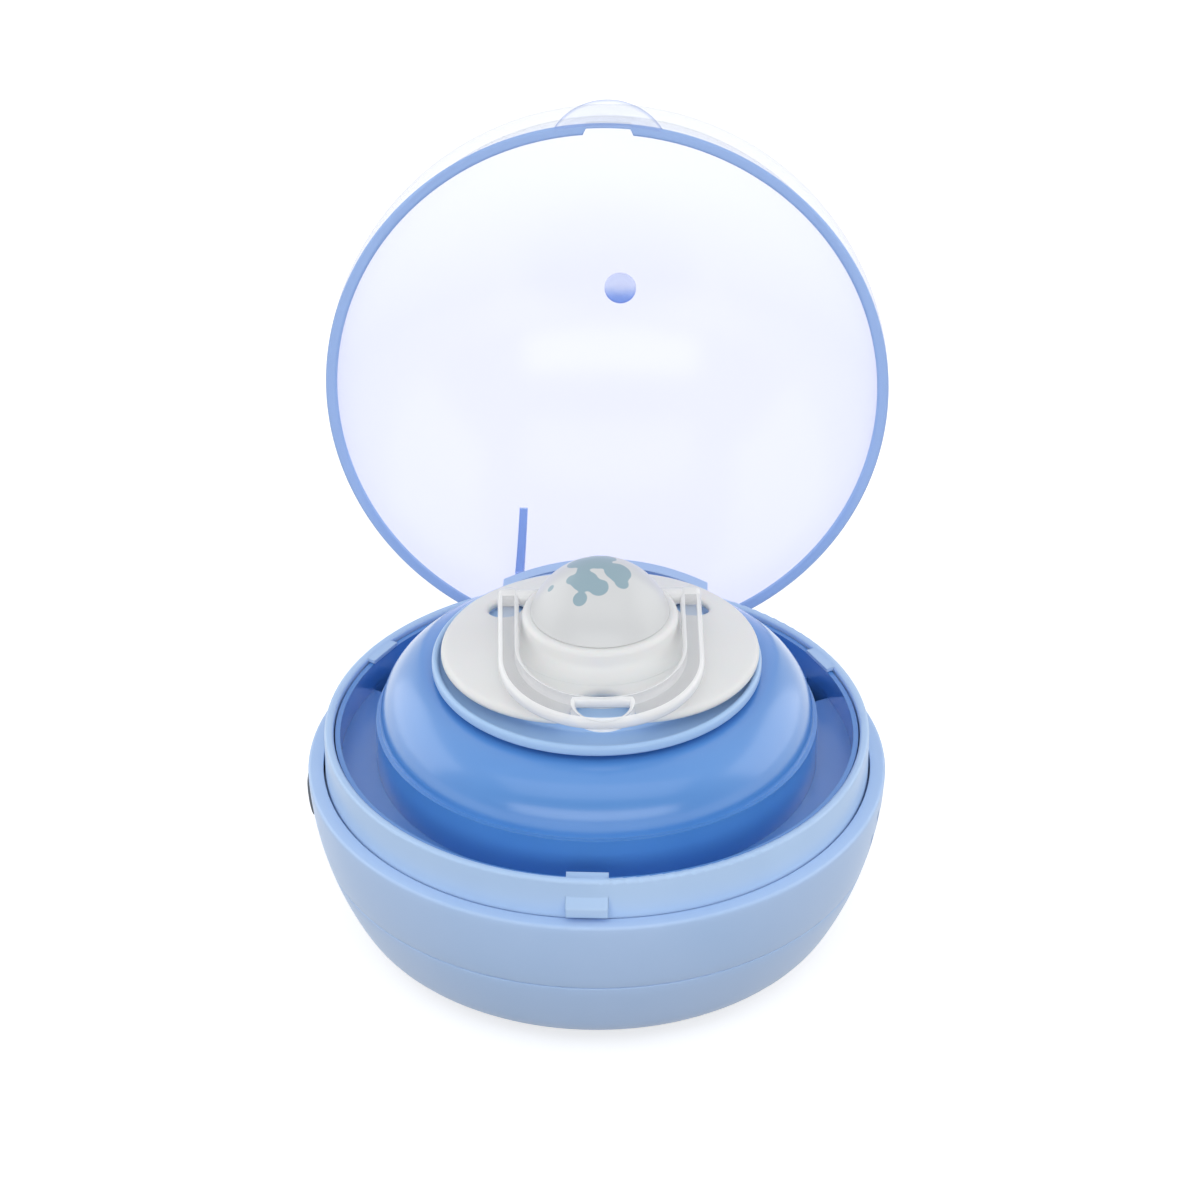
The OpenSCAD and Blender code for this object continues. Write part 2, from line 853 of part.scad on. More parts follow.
module battery_door() {
    lug_z = floor_top + seat_gap;
    color("#93b6e4") difference() {
        union() {
            translate([0, 0, floor_z]) cylinder(r = door_r, h = door_top - floor_z);
            for (turn = [90, 270]) rotate([0, 0, turn - door_lug_half])
                rotate_extrude(angle = 2 * door_lug_half) {
                    translate([door_r - door_neck_t - 0.1, door_top - 0.5])
                        square([door_neck_t, lug_z - door_top + 0.5 + door_lug_t]);
                    translate([door_r - door_neck_t - 0.1, lug_z])
                        square([door_neck_t + 0.1 + door_lug_out, door_lug_t]);
                }
        }
        translate([0, 0, floor_z - eps]) cylinder(r = pad_r, h = pad_deep + eps);
        both_sides() translate([dimple_x, 0, floor_z - eps])
            cylinder(r = dimple_r, h = pad_deep + dimple_deep + eps);
    }
}

module grip_pad() {
    color("#59636e") difference() {
        cylinder(r = pad_r - run_gap, h = floor_z + pad_deep);
        both_sides() translate([dimple_x, 0, -eps])
            cylinder(r = dimple_r, h = floor_z + pad_deep + 2 * eps);
    }
}

// The closed lid, before it swings open
module closed_lid() {
    difference() {
        union() {
            rotate_extrude() difference() {
                intersection() {
                    ball_disc(ball_r);
                    band(lid_z, far);
                }
                ball_disc(lid_in_r);
            }
            thumb_tab();
            gate_nub();
        }
        tower_prism(tower_gap, notch_up);
        intersection() {
            translate([-recess_half, -ball_r, lid_z - 1])
                cube([2 * recess_half, recess_deep, recess_h + 1]);
            cylinder(r = recess_r, h = far);
        }
        both_sides() on_hinge() bar_x(lug_bore_r, lug_x - 1, lug_end + 1);
    }
    both_sides() hinge_lug();
    lid_rib(long_rib_x, long_rib_to);
    lid_rib(short_rib_x, short_rib_to);
}

// Crescent at the front that the thumb lifts
module thumb_tab() {
    difference() {
        translate([0, tab_r - ball_r - tab_out, lid_z]) cylinder(r = tab_r, h = tab_t);
        rotate_extrude() ball_disc(ball_r - wall / 2);
    }
}

// Small moulding mark at the crown
module gate_nub() {
    crown = ball_z + lid_in_r;
    translate([nub_x, 0, crown - nub_h]) cylinder(r = nub_r, h = nub_h + wall / 2);
    translate([nub_x, 0, crown - nub_h - 0.5]) cylinder(r = 0.5, h = 1, $fn = 32);
}

// Round lug on the hinge axis, let into the rim of the lid
module hinge_lug() {
    difference() {
        on_hinge() bar_x(lug_r, lug_x, lug_end);
        on_hinge() bar_x(lug_bore_r, lug_x - 1, lug_end + 1);
    }
}

// Rib along the inside of the dome that fades out upwards
module lid_rib(x, to) {
    inner = sqrt(pow(lid_in_r, 2) - pow(x, 2));
    steps = 12;
    over = [for (i = [0 : steps])
        let (a = rib_from + (to - rib_from) * i / steps)
        [cos(a) * (inner + 0.4), ball_z + sin(a) * (inner + 0.4)]];
    under = [for (i = [steps : -1 : 0])
        let (a = rib_from + (to - rib_from) * i / steps,
            depth = rib_depth * (1 - i / steps) + 0.15)
        [cos(a) * (inner - depth), ball_z + sin(a) * (inner - depth)]];
    translate([x - rib_t / 2, 0, 0]) rotate([90, 0, 90])
        linear_extrude(rib_t) polygon(concat(over, under));
}

module lid() {
    color("#c3d7f6", 0.45) on_hinge() rotate([-lid_open, 0, 0])
        translate([0, -hinge_y, -hinge_z]) closed_lid();
}

module power_button() {
    color("#5f646b") {
        intersection() {
            translate([-ball_r - 2, 0, button_z])
                pill(button_w, button_h, ball_r + 2 + button_flange_x + eps);
            rotate_extrude() body_disc(-button_proud);
        }
        translate([button_flange_x, 0, button_z]) {
            pill(button_w + button_lip, button_h - 1, button_flange_t);
            bar_x(button_post_r, 0, button_end - button_flange_x);
        }
    }
}

// Places of the soother's pieces, turned a little in the seat
module soother_pose() {
    translate([soother_off, 0, 0]) rotate([0, 0, soother_turn]) children();
}

// Two lobes with a deep notch at the chin and a shallow one at the nose
module shield_outline() {
    difference() {
        union() {
            for (s = [-1, 1]) translate([s * lobe_x, 0]) circle(lobe_r);
            square([2 * lobe_x, 2 * lobe_r], center = true);
        }
        translate([0, chin_y]) circle(chin_r);
        translate([0, nose_y]) circle(nose_r);
    }
}

module soother_shield() {
    color("#e9e9ea") soother_pose() difference() {
        union() {
            intersection() {
                translate([0, shield_y, shield_under - shield_reach])
                    linear_extrude(2 * shield_reach) difference() {
                        shield_outline();
                        for (s = [-1, 1]) translate([s * vent_x, vent_y]) circle(vent_r);
                    }
                difference() {
                    translate([0, 0, shield_top - shield_curve_r])
                        sphere(shield_curve_r, $fn = 180);
                    translate([0, 0, shield_under - shield_curve_r])
                        sphere(shield_curve_r, $fn = 180);
                }
            }
            translate([0, 0, shield_top - shield_t + eps * 2])
                cylinder(r = hub_base_r, h = shield_t + hub_step);
            translate([0, 0, shield_top]) cylinder(r = hub_r, h = hub_top - shield_top);
        }
        translate([0, 0, shield_under - shield_reach]) cylinder(r = neck_hole_r, h = far);
        translate([0, 0, teat_flange_z]) cylinder(r = hub_bore_r, h = far);
        both_sides() translate([0, ring_y, ring_z])
            bar_x(ring_pin_r + run_gap, ring_pin_end - 0.2, far);
    }
}

module soother_teat() {
    color("#f3efe6", 0.8) soother_pose() rotate_extrude() difference() {
        union() {
            intersection() {
                translate([0, bulb_z]) circle(teat_r);
                band(0, far);
            }
            translate([0, bulb_z]) square([teat_neck_r - 0.8, teat_flange_z - bulb_z]);
            translate([0, shield_under - 4])
                square([teat_neck_r, teat_flange_z - shield_under + 4 + eps]);
            translate([0, teat_flange_z]) square([teat_flange_r, teat_flange_t]);
        }
        translate([0, bulb_z]) circle(teat_r - teat_wall);
        translate([0, bulb_z]) square([teat_neck_r - teat_wall, far]);
        translate([-far, -far]) square([far, 2 * far]);
    }
}

module teat_plug() {
    flange_z = teat_flange_z + teat_flange_t;
    color("#d6d8da") soother_pose() {
        translate([0, 0, shield_under - plug_l])
            cylinder(r = plug_r - 0.1, h = flange_z - shield_under + plug_l + eps);
        translate([0, 0, flange_z]) cylinder(r = plug_flange_r, h = plug_flange_t);
    }
}

module soother_knob() {
    low = hub_top + seat_gap;
    spigot_low = teat_flange_z + teat_flange_t + run_gap;
    color("#e3e4e4") soother_pose() rotate_extrude() {
        difference() {
            intersection() {
                translate([0, knob_cz]) circle(knob_curve_r);
                translate([0, low]) square([far, far]);
            }
            intersection() {
                translate([0, knob_cz]) circle(knob_curve_r - 1.4);
                translate([-1, low + 1]) square([far, far]);
            }
        }
        translate([teat_flange_r - knob_spigot_t, spigot_low])
            square([knob_spigot_t, low + 1 - spigot_low]);
    }
}

// Flat view of the ring handle, with its eyes on the pivot line
module ring_outline() {
    out_cy = ring_out_y + ring_half_w;
    in_cy = ring_in_y + ring_in_half;
    difference() {
        union() {
            translate([0, out_cy]) circle(ring_half_w);
            translate([-ring_half_w, out_cy]) square([2 * ring_half_w, ring_y - out_cy]);
        }
        translate([0, in_cy]) circle(ring_in_half);
        translate([-ring_in_half, in_cy]) square([2 * ring_in_half, far]);
        ring_window();
    }
}

// Half-round window in the grip of the ring
module ring_window() {
    low = ring_in_y - 0.9;
    intersection() {
        translate([0, low - 0.6]) circle(window_half_w);
        translate([-far / 2, low - window_low + 0.6]) square([far, window_low - 0.6]);
    }
}

module soother_ring() {
    color("#eef0f2", 0.5) soother_pose() translate([0, ring_y, ring_z]) rotate([ring_tilt, 0, 0]) {
        translate([0, -ring_y, -ring_t / 2]) linear_extrude(ring_t) ring_outline();
        both_sides() {
            bar_x(ring_eye_r, ring_in_half, ring_half_w);
            bar_x(ring_pin_r, ring_pin_end, ring_in_half + eps);
        }
    }
}

lower_shell();
upper_shell();
collar_ring();
dome_deck();
soother_seat();
reflector_cup();
quartz_window();
window_seal();
uv_led_board();
uv_led();
main_board();
beeper();
button_board();
button_switch();
battery_tray();
battery_front();
battery_middle();
battery_rear();
contact_springs();
contact_plates();
case_screws();
board_screws();
hinge_pins();
battery_door();
grip_pad();
lid();
power_button();
soother_shield();
soother_teat();
teat_plug();
soother_knob();
soother_ring();
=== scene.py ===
"""Pacifier sterilizer case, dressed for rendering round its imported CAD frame.

The case is a ball that opens on a rear hinge: a blue lower half with a domed deck,
a clear upper half, and a soother that hangs in the dome. Lengths in the classes are
in millimetres and turn to metres where a mesh is made.
"""

from __future__ import annotations

import logging
import math
from dataclasses import dataclass, field
from enum import Enum
from typing import Any

import bmesh
import bpy
import numpy as np
from bpy.types import Material, Node, NodeSocket, NodeTree, Object
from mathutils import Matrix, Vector, geometry

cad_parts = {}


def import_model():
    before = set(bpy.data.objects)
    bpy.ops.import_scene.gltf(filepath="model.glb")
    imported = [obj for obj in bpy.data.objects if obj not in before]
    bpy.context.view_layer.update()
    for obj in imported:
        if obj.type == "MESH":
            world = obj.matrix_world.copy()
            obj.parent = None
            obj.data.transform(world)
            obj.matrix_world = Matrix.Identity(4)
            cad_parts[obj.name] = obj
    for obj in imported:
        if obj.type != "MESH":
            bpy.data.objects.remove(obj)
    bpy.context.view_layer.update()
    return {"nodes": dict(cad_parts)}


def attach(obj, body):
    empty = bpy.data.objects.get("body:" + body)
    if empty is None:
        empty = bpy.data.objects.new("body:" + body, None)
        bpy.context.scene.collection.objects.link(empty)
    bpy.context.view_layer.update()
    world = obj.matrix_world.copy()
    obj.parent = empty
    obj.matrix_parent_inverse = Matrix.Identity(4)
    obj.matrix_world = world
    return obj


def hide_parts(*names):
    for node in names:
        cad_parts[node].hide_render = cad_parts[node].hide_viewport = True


LOG = logging.getLogger("steriliser")
MM = 0.001
TAU = 2.0 * math.pi
MERGE_MM = 0.002  # points nearer than this are one point
SLIVER_MM = 0.001  # shorter edges are dissolved, and the frame's split corners welded
SPLIT_DEG = 38.0  # on the frame's solids an edge over this angle stays sharp
Array = np.ndarray
Pair = tuple[float, float]
Triple = tuple[float, float, float]


class Body(Enum):
    """The moving bodies of the frame that pieces ride on."""

    CASE = "case"
    LID = "lid"
    SOOTHER = "soother"
    RING = "ring"


# ---------------------------------------------------------------- node helpers


def srgb(code: str) -> tuple[float, float, float, float]:
    """Turns an sRGB hex colour to linear light.

    Args:
        code: six hex digits, with or without a leading hash.

    Returns:
        Linear red, green, blue and an alpha of 1.
    """
    digits = code.lstrip("#")
    parts = [int(digits[i : i + 2], 16) / 255.0 for i in (0, 2, 4)]
    linear = [p / 12.92 if p <= 0.04045 else ((p + 0.055) / 1.055) ** 2.4 for p in parts]
    return (linear[0], linear[1], linear[2], 1.0)


def add_node(
    tree: NodeTree, kind: str, sockets: dict[Any, Any] | None = None, **settings: Any
) -> Node:
    """Adds one node with its settings, constants and links.

    Args:
        tree: the node tree that gets the node.
        kind: the node's type name.
        sockets: input name or number to a constant, to the output that feeds it, or to
            the node whose first output feeds it.
        settings: attributes of the node itself.

    Returns:
        The new node.
    """
    node = tree.nodes.new(kind)
    for name, value in settings.items():
        setattr(node, name, value)
    for name, value in (sockets or {}).items():
        if isinstance(value, Node):
            value = value.outputs[0]
        if isinstance(value, NodeSocket):
            tree.links.new(value, node.inputs[name])
        else:
            node.inputs[name].default_value = value
    return node


def new_material(name: str) -> tuple[Material, NodeTree]:
    """Makes an empty node material.

    Args:
        name: the material's name.

    Returns:
        The material and its cleared node tree.
    """
    material = bpy.data.materials.new(name)
    material.use_nodes = True
    material.node_tree.nodes.clear()
    return material, material.node_tree


def ramp_between(
    tree: NodeTree, factor: Any, colours: tuple[str, str], stops: Pair
) -> Node:
    """Blends two hex colours by a factor between two stops.

    Args:
        tree: the material's tree.
        factor: the node or output that drives the blend.
        colours: colour at and below the first stop, and at and above the second.
        stops: positions of the two stops.

    Returns:
        The node, whose first output is the blended colour.
    """
    node = add_node(tree, "ShaderNodeValToRGB", {"Fac": factor})
    first, last = node.color_ramp.elements
    first.position, first.color = stops[0], srgb(colours[0])
    last.position, last.color = stops[1], srgb(colours[1])
    return node


# ---------------------------------------------------------------- finishes


@dataclass(frozen=True)
class MouldedPlastic:
    """Injection-moulded ABS or polypropylene: an even colour under a very fine mould texture."""

    name: str
    colour: str
    shade: str
    roughness: float = 0.38
    grain: float = 0.22
    bump: float = 0.05
    coat: float = 0.0
    coat_roughness: float = 0.12
    scatter: float = 0.0
    edge: float = 0.25

    def material(self) -> Material:
        """Builds the material: slow drift of colour, grain in the bump, edges shaded as rounded.

        The eye gets an even, soft moulded skin whose lights run round every edge.

        Returns:
            The material.
        """
        material, tree = new_material(self.name)
        place = add_node(tree, "ShaderNodeTexCoord")
        drift_mm = 18.0
        drift = add_node(tree, "ShaderNodeTexNoise", {
            "Vector": place.outputs["Object"], "Scale": 1.0 / (drift_mm * MM), "Detail": 2.0})
        colour = ramp_between(tree, drift, (self.shade, self.colour), (0.30, 0.62))
        grain = add_node(tree, "ShaderNodeTexNoise", {
            "Vector": place.outputs["Object"], "Scale": 1.0 / (self.grain * MM), "Detail": 3.0})
        soft = add_node(tree, "ShaderNodeBevel", {"Radius": self.edge * MM}, samples=4)
        bump = add_node(tree, "ShaderNodeBump", {
            "Height": grain, "Strength": self.bump, "Distance": 0.02 * MM, "Normal": soft})
        spread = 0.04
        rough = add_node(tree, "ShaderNodeMapRange", {
            "Value": grain, "To Min": self.roughness - spread, "To Max": self.roughness + spread})
        shader = add_node(tree, "ShaderNodeBsdfPrincipled", {
            "Base Color": colour, "Roughness": rough, "Normal": bump, "IOR": 1.5,
            "Coat Weight": self.coat, "Coat Roughness": self.coat_roughness,
            "Subsurface Weight": self.scatter, "Subsurface Scale": 2.0 * MM})
        add_node(tree, "ShaderNodeOutputMaterial", {"Surface": shader})
        return material


@dataclass(frozen=True)
class ClearPlastic:
    """Clear moulded styrene with a blue cast, see-through and shiny at grazing angles."""

    name: str
    tint: str
    side: str
    body: str
    haze: float
    edge_gloss: float = 0.5
    clears: Pair = (300.0, 310.0)
    gloss_roughness: float = 0.05

    def material(self) -> Material:
        """Builds the material: tinted see-through, a little milkiness and a gloss.

        The gloss grows as the fifth power of the slant, as Schlick's rule has it. The cast
        fades to near white between two heights in millimetres. The eye gets a wall that is
        seen at its rim and rib and all but gone between.

        Returns:
            The material.
        """
        material, tree = new_material(self.name)
        facing = add_node(tree, "ShaderNodeLayerWeight", {"Blend": 0.5})
        cast = ramp_between(tree, facing.outputs["Facing"], (self.tint, self.side), (0.15, 0.9))
        place = add_node(tree, "ShaderNodeTexCoord")
        parts = add_node(tree, "ShaderNodeSeparateXYZ", {"Vector": place.outputs["Object"]})
        height_fade = add_node(tree, "ShaderNodeMapRange", {
            "Value": parts.outputs["Z"], "From Min": self.clears[0] * MM,
            "From Max": self.clears[1] * MM})
        pale = add_node(tree, "ShaderNodeMix", {
            0: height_fade, 6: cast, 7: srgb("#FDFEFF")}, data_type="RGBA")
        clear = add_node(tree, "ShaderNodeBsdfTransparent", {"Color": pale.outputs[2]})
        milk = add_node(tree, "ShaderNodeBsdfPrincipled", {
            "Base Color": srgb(self.body), "Roughness": 0.3, "IOR": 1.5})
        hazy = add_node(tree, "ShaderNodeMixShader", {0: self.haze, 1: clear, 2: milk})
        shine = add_node(tree, "ShaderNodeBsdfGlossy", {"Roughness": self.gloss_roughness})
        grazing = add_node(tree, "ShaderNodeMath", {
            0: facing.outputs["Facing"], 1: 5.0}, operation="POWER")
        gloss = add_node(tree, "ShaderNodeMath", {
            0: grazing, 1: self.edge_gloss, 2: 0.03}, operation="MULTIPLY_ADD")
        shader = add_node(tree, "ShaderNodeMixShader", {0: gloss, 1: hazy, 2: shine})
        add_node(tree, "ShaderNodeOutputMaterial", {"Surface": shader})
        return material


@dataclass(frozen=True)
class Silicone:
    """Cast silicone: soft, slightly see-through and dull."""

    name: str
    colour: str

    def material(self) -> Material:
        """Builds the material: light passes into it, and a fine film breaks up its gloss.

        The eye gets something soft and warm beside the hard mouldings.

        Returns:
            The material.
        """
        material, tree = new_material(self.name)
        place = add_node(tree, "ShaderNodeTexCoord")
        film_mm = 0.5
        film = add_node(tree, "ShaderNodeTexNoise", {
            "Vector": place.outputs["Object"], "Scale": 1.0 / (film_mm * MM), "Detail": 2.0})
        rough = add_node(tree, "ShaderNodeMapRange", {
            "Value": film, "To Min": 0.32, "To Max": 0.46})
        shader = add_node(tree, "ShaderNodeBsdfPrincipled", {
            "Base Color": srgb(self.colour), "Roughness": rough, "IOR": 1.41,
            "Transmission Weight": 0.35, "Subsurface Weight": 0.3, "Subsurface Scale": 3.0 * MM})
        add_node(tree, "ShaderNodeOutputMaterial", {"Surface": shader})
        return material


@dataclass(frozen=True)
class Metal:
    """Plated or drawn metal with fine lines along one axis."""

    name: str
    colour: str
    roughness: float
    line: float = 0.08
    stretch: Triple = (1.0, 1.0, 0.05)

    def material(self) -> Material:
        """Builds the material: stretched noise gives the drawing lines in roughness and bump.

        The eye gets highlights that streak along the part.

        Returns:
            The material.
        """
        material, tree = new_material(self.name)
        place = add_node(tree, "ShaderNodeTexCoord")
        lay = add_node(tree, "ShaderNodeMapping", {
            "Vector": place.outputs["Object"], "Scale": self.stretch})
        lines = add_node(tree, "ShaderNodeTexNoise", {
            "Vector": lay, "Scale": 1.0 / (self.line * MM), "Detail": 2.0})
        rough = add_node(tree, "ShaderNodeMapRange", {
            "Value": lines, "To Min": self.roughness * 0.7, "To Max": self.roughness * 1.3})
        bump = add_node(tree, "ShaderNodeBump", {
            "Height": lines, "Strength": 0.1, "Distance": 0.01 * MM})
        shader = add_node(tree, "ShaderNodeBsdfPrincipled", {
            "Base Color": srgb(self.colour), "Metallic": 1.0, "Roughness": rough, "Normal": bump})
        add_node(tree, "ShaderNodeOutputMaterial", {"Surface": shader})
        return material


@dataclass(frozen=True)
class CircuitBoard:
    """Glass-epoxy board under a solder mask, whose copper tracks show as lines of another shade."""

    name: str
    mask: str
    track: str

    def material(self) -> Material:
        """Builds the material: a brick grid 3 mm by 1.5 mm stands for the tracks.

        The eye gets a board and not a painted slab.

        Returns:
            The material.
        """
        material, tree = new_material(self.name)
        place = add_node(tree, "ShaderNodeTexCoord")
        tracks = add_node(tree, "ShaderNodeTexBrick", {
            "Vector": place.outputs["Object"], "Color1": srgb(self.mask),
            "Color2": srgb(self.mask), "Mortar": srgb(self.track), "Scale": 1.0,
            "Mortar Size": 0.15 * MM, "Brick Width": 3.0 * MM, "Row Height": 1.5 * MM})
        shader = add_node(tree, "ShaderNodeBsdfPrincipled", {
            "Base Color": tracks, "Roughness": 0.35, "Coat Weight": 0.4})
        add_node(tree, "ShaderNodeOutputMaterial", {"Surface": shader})
        return material


@dataclass(frozen=True)
class PrintedKnob:
    """Moulded plastic with a pad-printed pattern of round clouds in one grey-blue ink."""

    name: str
    colour: str
    ink: str
    cloud: float = 3.6

    def material(self) -> Material:
        """Builds the material: Voronoi cells give blobs of ink, large at the crown, none below.

        The eye gets a soft print that fades down the dome's shoulder.

        Returns:
            The material.
        """
        material, tree = new_material(self.name)
        place = add_node(tree, "ShaderNodeTexCoord")
        shift = add_node(tree, "ShaderNodeMapping", {
            "Vector": place.outputs["Object"], "Location": (0.0013, 0.0021, 0.0)})
        blobs = add_node(tree, "ShaderNodeTexVoronoi", {
            "Vector": shift, "Scale": 1.0 / (self.cloud * MM),
            "Smoothness": 0.35}, feature="SMOOTH_F1")
        parts = add_node(tree, "ShaderNodeSeparateXYZ", {"Vector": place.outputs["Object"]})
        low_mm, high_mm = 57.0, 60.8  # heights between which the ink sets in
        band = add_node(tree, "ShaderNodeMapRange", {
            "Value": parts.outputs["Z"], "From Min": low_mm * MM, "From Max": high_mm * MM,
            "To Min": 0.5, "To Max": -0.22})
        level = add_node(tree, "ShaderNodeMath", {0: blobs, 1: band}, operation="ADD")
        colour = ramp_between(tree, level, (self.ink, self.colour), (0.40, 0.42))
        shader = add_node(tree, "ShaderNodeBsdfPrincipled", {
            "Base Color": colour, "Roughness": 0.34, "IOR": 1.5, "Coat Weight": 0.15})
        add_node(tree, "ShaderNodeOutputMaterial", {"Surface": shader})
        return material


# the case's skin is satin and pale, and the deck polished and a darker blue: painted shade of the
# hollow inside the collar
SHELL = MouldedPlastic("shell satin polypropylene", "#B4CFF4", "#AFCCF2", 0.34)
COLLAR = MouldedPlastic("collar satin polypropylene", "#B6D2F4", "#B1CEF2", 0.3)
# the deck's base blue is set darker than the shell's as painted shade; its clear coat is real
DECK_PAINTED_SHADE = MouldedPlastic(
    "deck polished ABS with painted shade", "#5592D9", "#508ED6", 0.3, bump=0.01, coat=1.0, coat_roughness=0.2
)
SEAT = MouldedPlastic("seat satin ABS", "#ACCDF3", "#A7C9F1", 0.3)
# rubber parts are dark and dull, and the soother a warm white against the blue
BUTTON = MouldedPlastic("button matt elastomer", "#6B7079", "#646972", 0.5)
PAD = MouldedPlastic("foot pad rubber", "#5B646E", "#535C66", 0.75, grain=0.5, bump=0.3)
SOOTHER = MouldedPlastic("soother satin polypropylene", "#E9E9E8", "#E6E6E5", 0.4, scatter=0.08)
# inside: mouldings, boards and metals that the eye tells apart by gloss and colour
TRAY = MouldedPlastic("battery tray ABS", "#DFE5EC", "#D6DDE5", 0.45)
DARK = MouldedPlastic(
    "component moulding compound", "#2B2D31", "#222428", 0.55, grain=0.3, bump=0.2
)
BOARD = CircuitBoard("circuit board solder mask", "#2E7A52", "#4B9A6B")
LED_BOARD = CircuitBoard("lamp board white mask", "#EFEFEA", "#D9D9D2")
MIRROR = Metal("vacuum metallised reflector", "#D9DDE2", 0.12)
STEEL = Metal("zinc plated steel", "#B4B9C0", 0.3)
CELL = Metal("cell steel can", "#C4C9D1", 0.35, stretch=(0.05, 1.0, 1.0))
SPRING = Metal("plated spring bronze", "#C8B070", 0.3)
# one clear plastic looks bluer and milkier the longer the way through it: flank, rib, edge
LENS = ClearPlastic("quartz window", "#F4FAFD", "#C9DCE8", "#DDE9F0", 0.06)
LID = ClearPlastic(
    "lid clear styrene", "#F1F2FF", "#EEF0FE", "#E6EBFB", 0.02, 0.5, (62.0, 104.0), 0.22
)
TAB = ClearPlastic("lid tab edge", "#FBFCFF", "#C6D1EE", "#EDF2FC", 0.05, 0.2)
GATE = ClearPlastic("lid gate mark", "#BDD2F4", "#8FB2EA", "#B9CFF3", 0.2, 0.5, (58.6, 60.8))
LID_EDGE = ClearPlastic("lid cut edge", "#A9C4F0", "#86ABE4", "#94B4E8", 0.75, 0.1)
LID_RIB = ClearPlastic("lid rib flank", "#C4D8F6", "#9CBBEC", "#9DBDEC", 0.35, 0.2)
RING = ClearPlastic("ring clear copolyester", "#FAFAFA", "#ECECEE", "#F4F4F5", 0.22, 0.4)
# the band's rounded edges, its eyes and its pins are milky white: a painted highlight for the light
# that runs along a clear plastic's edges
RING_EDGE_PAINTED_HIGHLIGHT = ClearPlastic("ring rounded edge painted highlight", "#FFFFFF", "#F4F4F6", "#FCFCFC", 0.75, 0.4)
TEAT = Silicone("teat silicone", "#F0EBDF")
KNOB = PrintedKnob("knob printed polypropylene", "#D6D7D7", "#93ACB7")


# ---------------------------------------------------------------- mesh helpers


def arc(centre: Pair, radius: float, start: float, end: float, count: int) -> Array:
    """Points on a circle: centre plus radius times cosine and sine of evenly spaced angles.

    Args:
        centre: the circle's middle.
        radius: its radius.
        start: first angle in degrees.
        end: last angle in degrees.
        count: number of points.

    Returns:
        An array of count by 2.
    """
    turn = np.radians(np.linspace(start, end, count))
    return np.stack([centre[0] + radius * np.cos(turn), centre[1] + radius * np.sin(turn)], axis=1)


def rounded(corners: list[Triple], steps: int = 6) -> Array:
    """Rounds the corners of a closed outline with tangent arcs.

    Each corner moves back along its two sides by radius over the tangent of half its
    angle, and an arc of that radius joins the two points.

    Args:
        corners: x, y and rounding radius of each corner, in order.
        steps: points on each rounded corner.

    Returns:
        The outline as an array of points.
    """
    spots = np.array([c[:2] for c in corners], float)
    pieces = []
    for i, (x, y, radius) in enumerate(corners):
        if radius <= 0:
            pieces.append(np.array([[x, y]]))
            continue
        before = spots[i - 1] - spots[i]
        after = spots[(i + 1) % len(spots)] - spots[i]
        before = before / np.linalg.norm(before)
        after = after / np.linalg.norm(after)
        half = math.acos(float(np.clip(before @ after, -1.0, 1.0))) / 2.0
        back = radius / math.tan(half)
        way = (before + after) / np.linalg.norm(before + after)
        middle = spots[i] + way * radius / math.sin(half)
        first = spots[i] + before * back - middle
        last = spots[i] + after * back - middle
        a0 = math.atan2(first[1], first[0])
        sweep = (math.atan2(last[1], last[0]) - a0 + math.pi) % TAU - math.pi
        pieces.append(arc(tuple(middle), radius, math.degrees(a0), math.degrees(a0 + sweep), steps))
    return np.concatenate(pieces)


def grid_faces(rows: int, columns: int, wrap_rows: bool, wrap_columns: bool) -> Array:
    """Quads of a grid of points, counted row by row.

    Args:
        rows: points in the first direction.
        columns: points in the second direction.
        wrap_rows: whether the last row joins the first.
        wrap_columns: whether the last column joins the first.

    Returns:
        An array of four point numbers a face.
    """
    i = np.arange(rows if wrap_rows else rows - 1)[:, None]
    j = np.arange(columns if wrap_columns else columns - 1)[None, :]
    i2, j2 = (i + 1) % rows, (j + 1) % columns
    return np.stack(
        [i * columns + j + 0 * j, i * columns + j2, i2 * columns + j2, i2 * columns + j], axis=-1
    ).reshape(-1, 4)


def turn_x(points: Array, degrees: float, pivot: Pair) -> Array:
    """Turns points about an axis along X through a pivot in Y and Z.

    Args:
        points: points in rows of x, y and z.
        degrees: angle by the right-hand rule.
        pivot: y and z of the axis.

    Returns:
        The turned points.
    """
    c, s = math.cos(math.radians(degrees)), math.sin(math.radians(degrees))
    y, z = points[:, 1] - pivot[0], points[:, 2] - pivot[1]
    return np.stack([points[:, 0], pivot[0] + y * c - z * s, pivot[1] + y * s + z * c], axis=1)


def turn_z(points: Array, degrees: float) -> Array:
    """Turns points about the vertical axis through the origin.

    Args:
        points: points in rows of x, y and z.
        degrees: angle by the right-hand rule.

    Returns:
        The turned points.
    """
    c, s = math.cos(math.radians(degrees)), math.sin(math.radians(degrees))
    x, y = points[:, 0], points[:, 1]
    return np.stack([x * c - y * s, x * s + y * c, points[:, 2]], axis=1)


